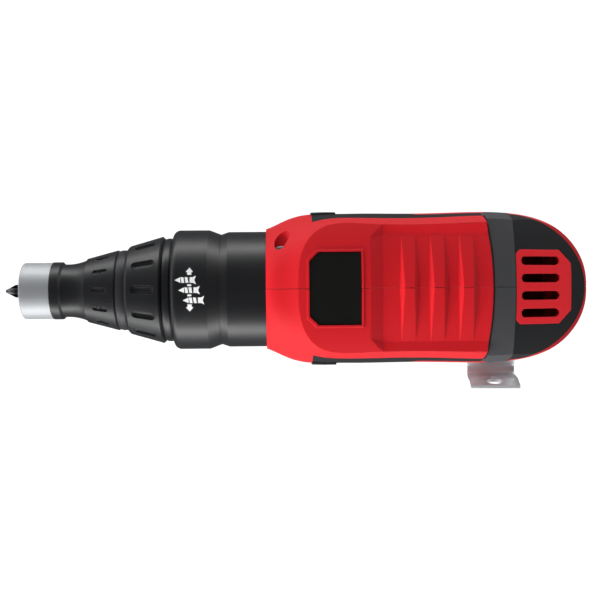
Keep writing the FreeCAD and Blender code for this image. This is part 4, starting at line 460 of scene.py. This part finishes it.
# coil springs, wound anew; way 0 lies along X and 1 along Y, the seat is the end that stays where
# it is, sizes and places in mm
springPlan = {
    "clutch_spring": {"radius": 6.6, "wire": 0.6, "turns": 4, "way": 0, "seat": -98.3,
                      "body": "gear", "joint": "spindle_push", "travel": 3.5},
    "trigger_spring": {"radius": 4.4, "wire": 0.5, "turns": 4, "way": 0, "seat": 13.0,
                       "body": "tool", "joint": "trigger_pull", "travel": 6.5},
    "latch_spring_right": {"radius": 3.4, "wire": 0.3, "turns": 3, "way": 1, "seat": 29.5,
                           "body": "battery", "joint": "latch_right_press", "travel": 2.2},
    "latch_spring_left": {"radius": 3.4, "wire": 0.3, "turns": 3, "way": 1, "seat": -29.5,
                          "body": "battery", "joint": "latch_left_press", "travel": 2.2},
}
springShape = {"wireSides": 10, "turnSteps": 24, "weld": 0.001, "sharpAngle": 50}   # weld in mm
for name, plan in springPlan.items():
    low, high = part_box(name)
    way, wire = plan["way"], plan["wire"] * mm
    startPiece()
    bpy.ops.mesh.primitive_circle_add(vertices=springShape["wireSides"], radius=wire,
                                      location=(plan["radius"] * mm, 0, wire),
                                      rotation=(radians(90), 0, 0))
    coil = bpy.context.object
    bpy.ops.object.transform_apply(location=True, rotation=True)
    winding = coil.modifiers.new("winding", "SCREW")
    winding.axis = "Z"
    winding.iterations = plan["turns"]
    winding.screw_offset = (high[way] - low[way] - 2 * wire) / plan["turns"]
    winding.steps = winding.render_steps = springShape["turnSteps"]
    bpy.ops.object.modifier_apply(modifier=winding.name)
    bpy.ops.object.mode_set(mode="EDIT")
    bpy.ops.mesh.select_all(action="SELECT")
    bpy.ops.mesh.remove_doubles(threshold=springShape["weld"] * mm)
    bpy.ops.mesh.fill_holes(sides=0)   # closes both ends of the wire
    smoothPiece(springShape["sharpAngle"])
    coil.rotation_euler = (0, radians(90), 0) if way == 0 else (radians(-90), 0, 0)
    middle = (low + high) / 2
    middle[way] = low[way]
    coil.location = middle
    finishPiece(coil, name + "_coil", zincSteel, plan["body"], "zinc_steel", name)
    seat = plan["seat"] * mm
    along, anchor = [0, 0, 0], list(middle)
    along[way], anchor[way] = 1, seat
    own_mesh(coil)
print("springs wound:", len(springPlan))

# front lip of the cone, a thin ring that laps over the rear end of the steel sleeve; sizes in mm,
# near is the slack with which edges are picked
lipPlan = {"ahead": 2.2, "behind": 2.0, "radius": 13.45, "wall": 0.45, "edge": 0.2, "edgeSteps": 3,
           "sides": 96, "near": 0.01, "sharpAngle": 35}
coneLow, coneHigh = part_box("depth_stop")
lipFront = coneLow[0] - lipPlan["ahead"] * mm
lipRear = coneLow[0] + lipPlan["behind"] * mm
lipAxis = (coneLow[2] + coneHigh[2]) / 2
startPiece()
bpy.ops.mesh.primitive_cylinder_add(vertices=lipPlan["sides"], radius=lipPlan["radius"] * mm,
                                    depth=lipRear - lipFront,
                                    location=((lipFront + lipRear) / 2, 0, lipAxis),
                                    rotation=(0, radians(90), 0))
coneLip = bpy.context.object
bpy.ops.object.transform_apply(location=True, rotation=True)
bpy.ops.object.mode_set(mode="EDIT")
selectBy(coneLip, "FACE", lambda face: abs(face.normal.x) > squareOn)
bpy.ops.mesh.inset(thickness=lipPlan["wall"] * mm)
bpy.ops.mesh.bridge_edge_loops()   # opens the bore
atFront = lipFront + lipPlan["near"] * mm
atRim = (lipPlan["radius"] - lipPlan["near"]) * mm
selectBy(coneLip, "EDGE", lambda edge: all(
    v.co.x < atFront and hypot(v.co.y, v.co.z - lipAxis) > atRim for v in edge.verts))
bpy.ops.mesh.bevel(offset=lipPlan["edge"] * mm, segments=lipPlan["edgeSteps"], affect="EDGES")
smoothPiece(lipPlan["sharpAngle"])
finishPiece(coneLip, "cone_lip", blackNylon, "depth_stop", "black_plastic")
print("cone lip set")

# depth sign printed in white on top of the collar: three screws set ever deeper, and a double
# arrow across them; lengths and places in mm, near is the slack with which corners are picked and
# lift the hair by which the ink lies above the collar
signPlan = {
    "height": 236.0, "tips": [(-130.5, 4.3), (-128.8, -0.2), (-126.9, -4.7)],
    "point": (2.6, 2.5), "bars": 2, "bar": (1.3, 2.5), "gap": 0.52, "slant": 0.4,
    "head": (2.8, 2.5, 3.9), "notch": 0.7,
    "arrowX": -123.9, "arrowEnds": [(6.6, 1), (-6.5, -1)], "stem": (1.85, 1.25),
    "arrowHead": (3.3, 1.9), "shoulder": 0.05,
    "dashes": [2.0, -2.5], "dash": (1.85, 0.85), "dashRound": 0.4, "roundSteps": 3,
    "near": 0.1, "cuts": 3, "lift": 0.02, "ink": 0.05,
}
# printing ink: flat white, a little uneven where it is thin
whiteInk = mouldedPlastic("white pad-printing ink", {
    "colour": "FFFFFF", "cloudColour": "FAFAF8", "edgeSheenAndWearColour": "F0F0EE", "edgeSheenAndWear": 0.2,
    "edgeMm": 0.05, "grainMm": 0.6, "grainDepth": 0.03, "cloudMm": 2.0,
    "roughness": (0.5, 0.6), "ior": 1.5, "specular": 0.4})


# a flat stroke of the sign, lengthwise along X from its left end, left in edit mode
def signStroke(left, y, length, width, columns=1, rows=1):
    startPiece()
    bpy.ops.mesh.primitive_grid_add(x_subdivisions=columns, y_subdivisions=rows, size=mm)
    stroke = bpy.context.object
    stroke.scale = (length, width, 1)
    stroke.location = ((left + length / 2) * mm, y * mm, signPlan["height"] * mm)
    bpy.ops.object.transform_apply(location=True, scale=True)
    bpy.ops.object.mode_set(mode="EDIT")
    return stroke


signStrokes = []
near = signPlan["near"]
for left, y in signPlan["tips"]:
    length, width = signPlan["point"]
    stroke = signStroke(left, y, length, width)
    selectBy(stroke, "VERT", lambda v: v.co.x < (left + near) * mm)
    bpy.ops.mesh.merge(type="CENTER")
    signStrokes.append(stroke)
    left += length + signPlan["gap"]
    for bar in range(signPlan["bars"]):
        length, width = signPlan["bar"]
        stroke = signStroke(left, y, length, width)
        selectBy(stroke, "VERT", lambda v: v.co.y > y * mm)
        bpy.ops.transform.translate(value=(-signPlan["slant"] * mm, 0, 0))
        signStrokes.append(stroke)
        left += length + signPlan["gap"]
    length, width, flare = signPlan["head"]
    # trumpet head, notched for its recess
    stroke = signStroke(left, y, length, width, columns=2, rows=2)
    atEnd = lambda v: v.co.x > (left + length - near) * mm
    selectBy(stroke, "VERT", atEnd)
    bpy.ops.transform.resize(value=(1, flare / width, 1),
                             center_override=((left + length) * mm, y * mm, 0))
    selectBy(stroke, "VERT", lambda v: atEnd(v) and abs(v.co.y - y * mm) < near * mm)
    bpy.ops.transform.translate(value=(-signPlan["notch"] * mm, 0, 0))
    signStrokes.append(stroke)
for start, way in signPlan["arrowEnds"]:
    stemWidth, stemLength = signPlan["stem"]
    headWidth, headLength = signPlan["arrowHead"]
    stroke = signStroke(signPlan["arrowX"] - stemWidth / 2, start + way * stemLength / 2,
                        stemWidth, stemLength)
    shoulder = start + way * stemLength
    selectBy(stroke, "EDGE", lambda edge: all(
        abs(v.co.y - shoulder * mm) < near * mm for v in edge.verts))
    bpy.ops.mesh.extrude_region_move(
        TRANSFORM_OT_translate={"value": (0, way * signPlan["shoulder"] * mm, 0)})
    bpy.ops.transform.resize(value=(headWidth / stemWidth, 1, 1),
                             center_override=(signPlan["arrowX"] * mm, 0, 0))
    bpy.ops.mesh.extrude_region_move(
        TRANSFORM_OT_translate={"value": (0, way * headLength * mm, 0)})
    bpy.ops.mesh.merge(type="CENTER")
    signStrokes.append(stroke)
for y in signPlan["dashes"]:
    length, width = signPlan["dash"]
    stroke = signStroke(signPlan["arrowX"] - length / 2, y, length, width)
    bpy.ops.mesh.bevel(offset=width * signPlan["dashRound"] * mm, segments=signPlan["roundSteps"],
                       affect="VERTICES")
    signStrokes.append(stroke)
startPiece()
for stroke in signStrokes:
    stroke.select_set(True)
sign = signStrokes[0]
bpy.context.view_layer.objects.active = sign
bpy.ops.object.join()
bpy.ops.object.mode_set(mode="EDIT")
bpy.ops.mesh.select_all(action="SELECT")
bpy.ops.mesh.quads_convert_to_tris()
bpy.ops.mesh.subdivide(number_cuts=signPlan["cuts"])
bpy.ops.object.mode_set(mode="OBJECT")
lay = sign.modifiers.new("lay on the collar", "SHRINKWRAP")
lay.target = nodes["nose_collar"]
lay.wrap_method = "PROJECT"
lay.use_project_z = True
lay.use_negative_direction, lay.use_positive_direction = True, False
lay.offset = signPlan["lift"] * mm
bpy.ops.object.modifier_apply(modifier=lay.name)
coat = sign.modifiers.new("ink", "SOLIDIFY")
coat.thickness = signPlan["ink"] * mm
coat.offset = 1.0
bpy.ops.object.modifier_apply(modifier=coat.name)
bpy.ops.object.mode_set(mode="EDIT")
bpy.ops.mesh.select_all(action="SELECT")
bpy.ops.mesh.normals_make_consistent(inside=False)
finishPiece(sign, "depth_sign", whiteInk, "tool", "grey_plastic")
print("depth sign printed")

# white paper sheet lit from behind, large enough for every view: matt and even, with a fibre that
# is drawn at 3 mm so that it shows
floorLook = {"halfSize": 6.0, "colour": "707070", "roughness": 0.9, "glowColour": "FFFFFF",
             "glow": 0.95, "fibreMm": 3.0, "fibreDepth": 0.02, "fibreBump": 0.1}
startPiece()
bpy.ops.mesh.primitive_plane_add(size=2 * floorLook["halfSize"], location=(0, 0, 0))
floor = bpy.context.object
floor.name = "floor"
floorPaper, paperTree, paperShader, paperPlace = newMaterial("matt white backlit sheet")
paperFibre = addNode(paperTree, "ShaderNodeTexNoise", {"Scale": perMetre / floorLook["fibreMm"]},
                     {"Vector": paperPlace})
paperBump = addNode(paperTree, "ShaderNodeBump",
                    {"Strength": floorLook["fibreDepth"], "Distance": floorLook["fibreBump"] * mm},
                    {"Height": paperFibre.outputs[0]})
paperShader.inputs["Base Color"].default_value = linearColour(floorLook["colour"])
paperShader.inputs["Roughness"].default_value = floorLook["roughness"]
paperShader.inputs["Emission Color"].default_value = linearColour(floorLook["glowColour"])
paperShader.inputs["Emission Strength"].default_value = floorLook["glow"]
paperTree.links.new(paperBump.outputs[0], paperShader.inputs["Normal"])
floor.data.materials.append(floorPaper)
floor.visible_glossy = False   # gleams come from the room and the strip lights alone

# soft boxes on all sides give the even light, the stronger one on the hook's side; two long strips
# at the height of the barrel draw the gleams along the black cylinders
lightPlan = {
    "hookSideBox": {"at": (-0.65, -1.15, 0.78), "size": (1.3, 0.5), "power": 17.5,
                    "gleams": False},
    "farSideBox": {"at": (-0.4, 1.2, 0.78), "size": (1.3, 0.45), "power": 11.3, "gleams": False},
    "noseBox": {"at": (-1.5, -0.6, 0.55), "size": (0.9, 0.4), "power": 16.0, "gleams": False},
    "rearBox": {"at": (1.5, -0.4, 0.6), "size": (0.9, 0.4), "power": 1.0, "gleams": False},
    "hookSideStrip": {"at": (-0.1, -1.2, 0.27), "size": (2.2, 0.44), "power": 11.0,
                      "gleams": True},
    "farSideStrip": {"at": (-0.1, 1.2, 0.27), "size": (2.2, 0.44), "power": 7.5, "gleams": True},
}
lightAim = Vector((-0.05, 0.0, 0.2))   # the point that every lamp faces
for name, plan in lightPlan.items():
    lamp = bpy.data.lights.new(name, "AREA")
    lamp.shape = "RECTANGLE"
    lamp.size, lamp.size_y = plan["size"]
    lamp.energy = plan["power"]
    holder = bpy.data.objects.new(name, lamp)
    holder.location = plan["at"]
    holder.visible_camera = False
    holder.visible_glossy, holder.visible_diffuse = plan["gleams"], not plan["gleams"]
    holder.rotation_euler = (lightAim - Vector(plan["at"])).to_track_quat("-Z", "Y").to_euler()
    bpy.context.collection.objects.link(holder)

# white walls round the tool that darken towards the ceiling, and the same way downwards
roomPlan = {"ceiling": "747678", "wall": "F4F6F8", "strength": 0.8, "wallTop": 0.2,
            "ceilingEdge": 0.55}
room = bpy.data.worlds.new("white studio")
room.use_nodes = True
roomTree = room.node_tree
skyward = addNode(roomTree, "ShaderNodeTexCoord", {})
height = addNode(roomTree, "ShaderNodeSeparateXYZ", {}, {0: skyward.outputs["Generated"]})
offLevel = addNode(roomTree, "ShaderNodeMath", {"operation": "ABSOLUTE"}, {0: height.outputs["Z"]})
climb = addNode(roomTree, "ShaderNodeMapRange",
                {"From Min": roomPlan["wallTop"], "From Max": roomPlan["ceilingEdge"]},
                {"Value": offLevel.outputs[0]})
wash = addNode(roomTree, "ShaderNodeMix",
               {"data_type": "RGBA", colourA: linearColour(roomPlan["wall"]),
                colourB: linearColour(roomPlan["ceiling"])}, {0: climb.outputs[0]})
roomTree.nodes["Background"].inputs["Strength"].default_value = roomPlan["strength"]
roomTree.links.new(wash.outputs[mixedColour], roomTree.nodes["Background"].inputs["Color"])
bpy.context.scene.world = room
bpy.context.scene.view_settings.view_transform = "Standard"
print("stage set")

# camera straight above, a touch off the middle of the tool, as in the photograph
cameraPlan = {"at": (-0.0837, 0.0, 0.659), "turn": (-0.66, -1.19, -0.49), "lens": 57.6,
              "sensor": 36.0}
eye = bpy.data.cameras.new("camera")
eye.lens = cameraPlan["lens"]
eye.sensor_width = cameraPlan["sensor"]
eyeHolder = bpy.data.objects.new("camera", eye)
eyeHolder.location = cameraPlan["at"]
eyeHolder.rotation_euler = [radians(angle) for angle in cameraPlan["turn"]]
bpy.context.collection.objects.link(eyeHolder)
bpy.context.scene.camera = eyeHolder
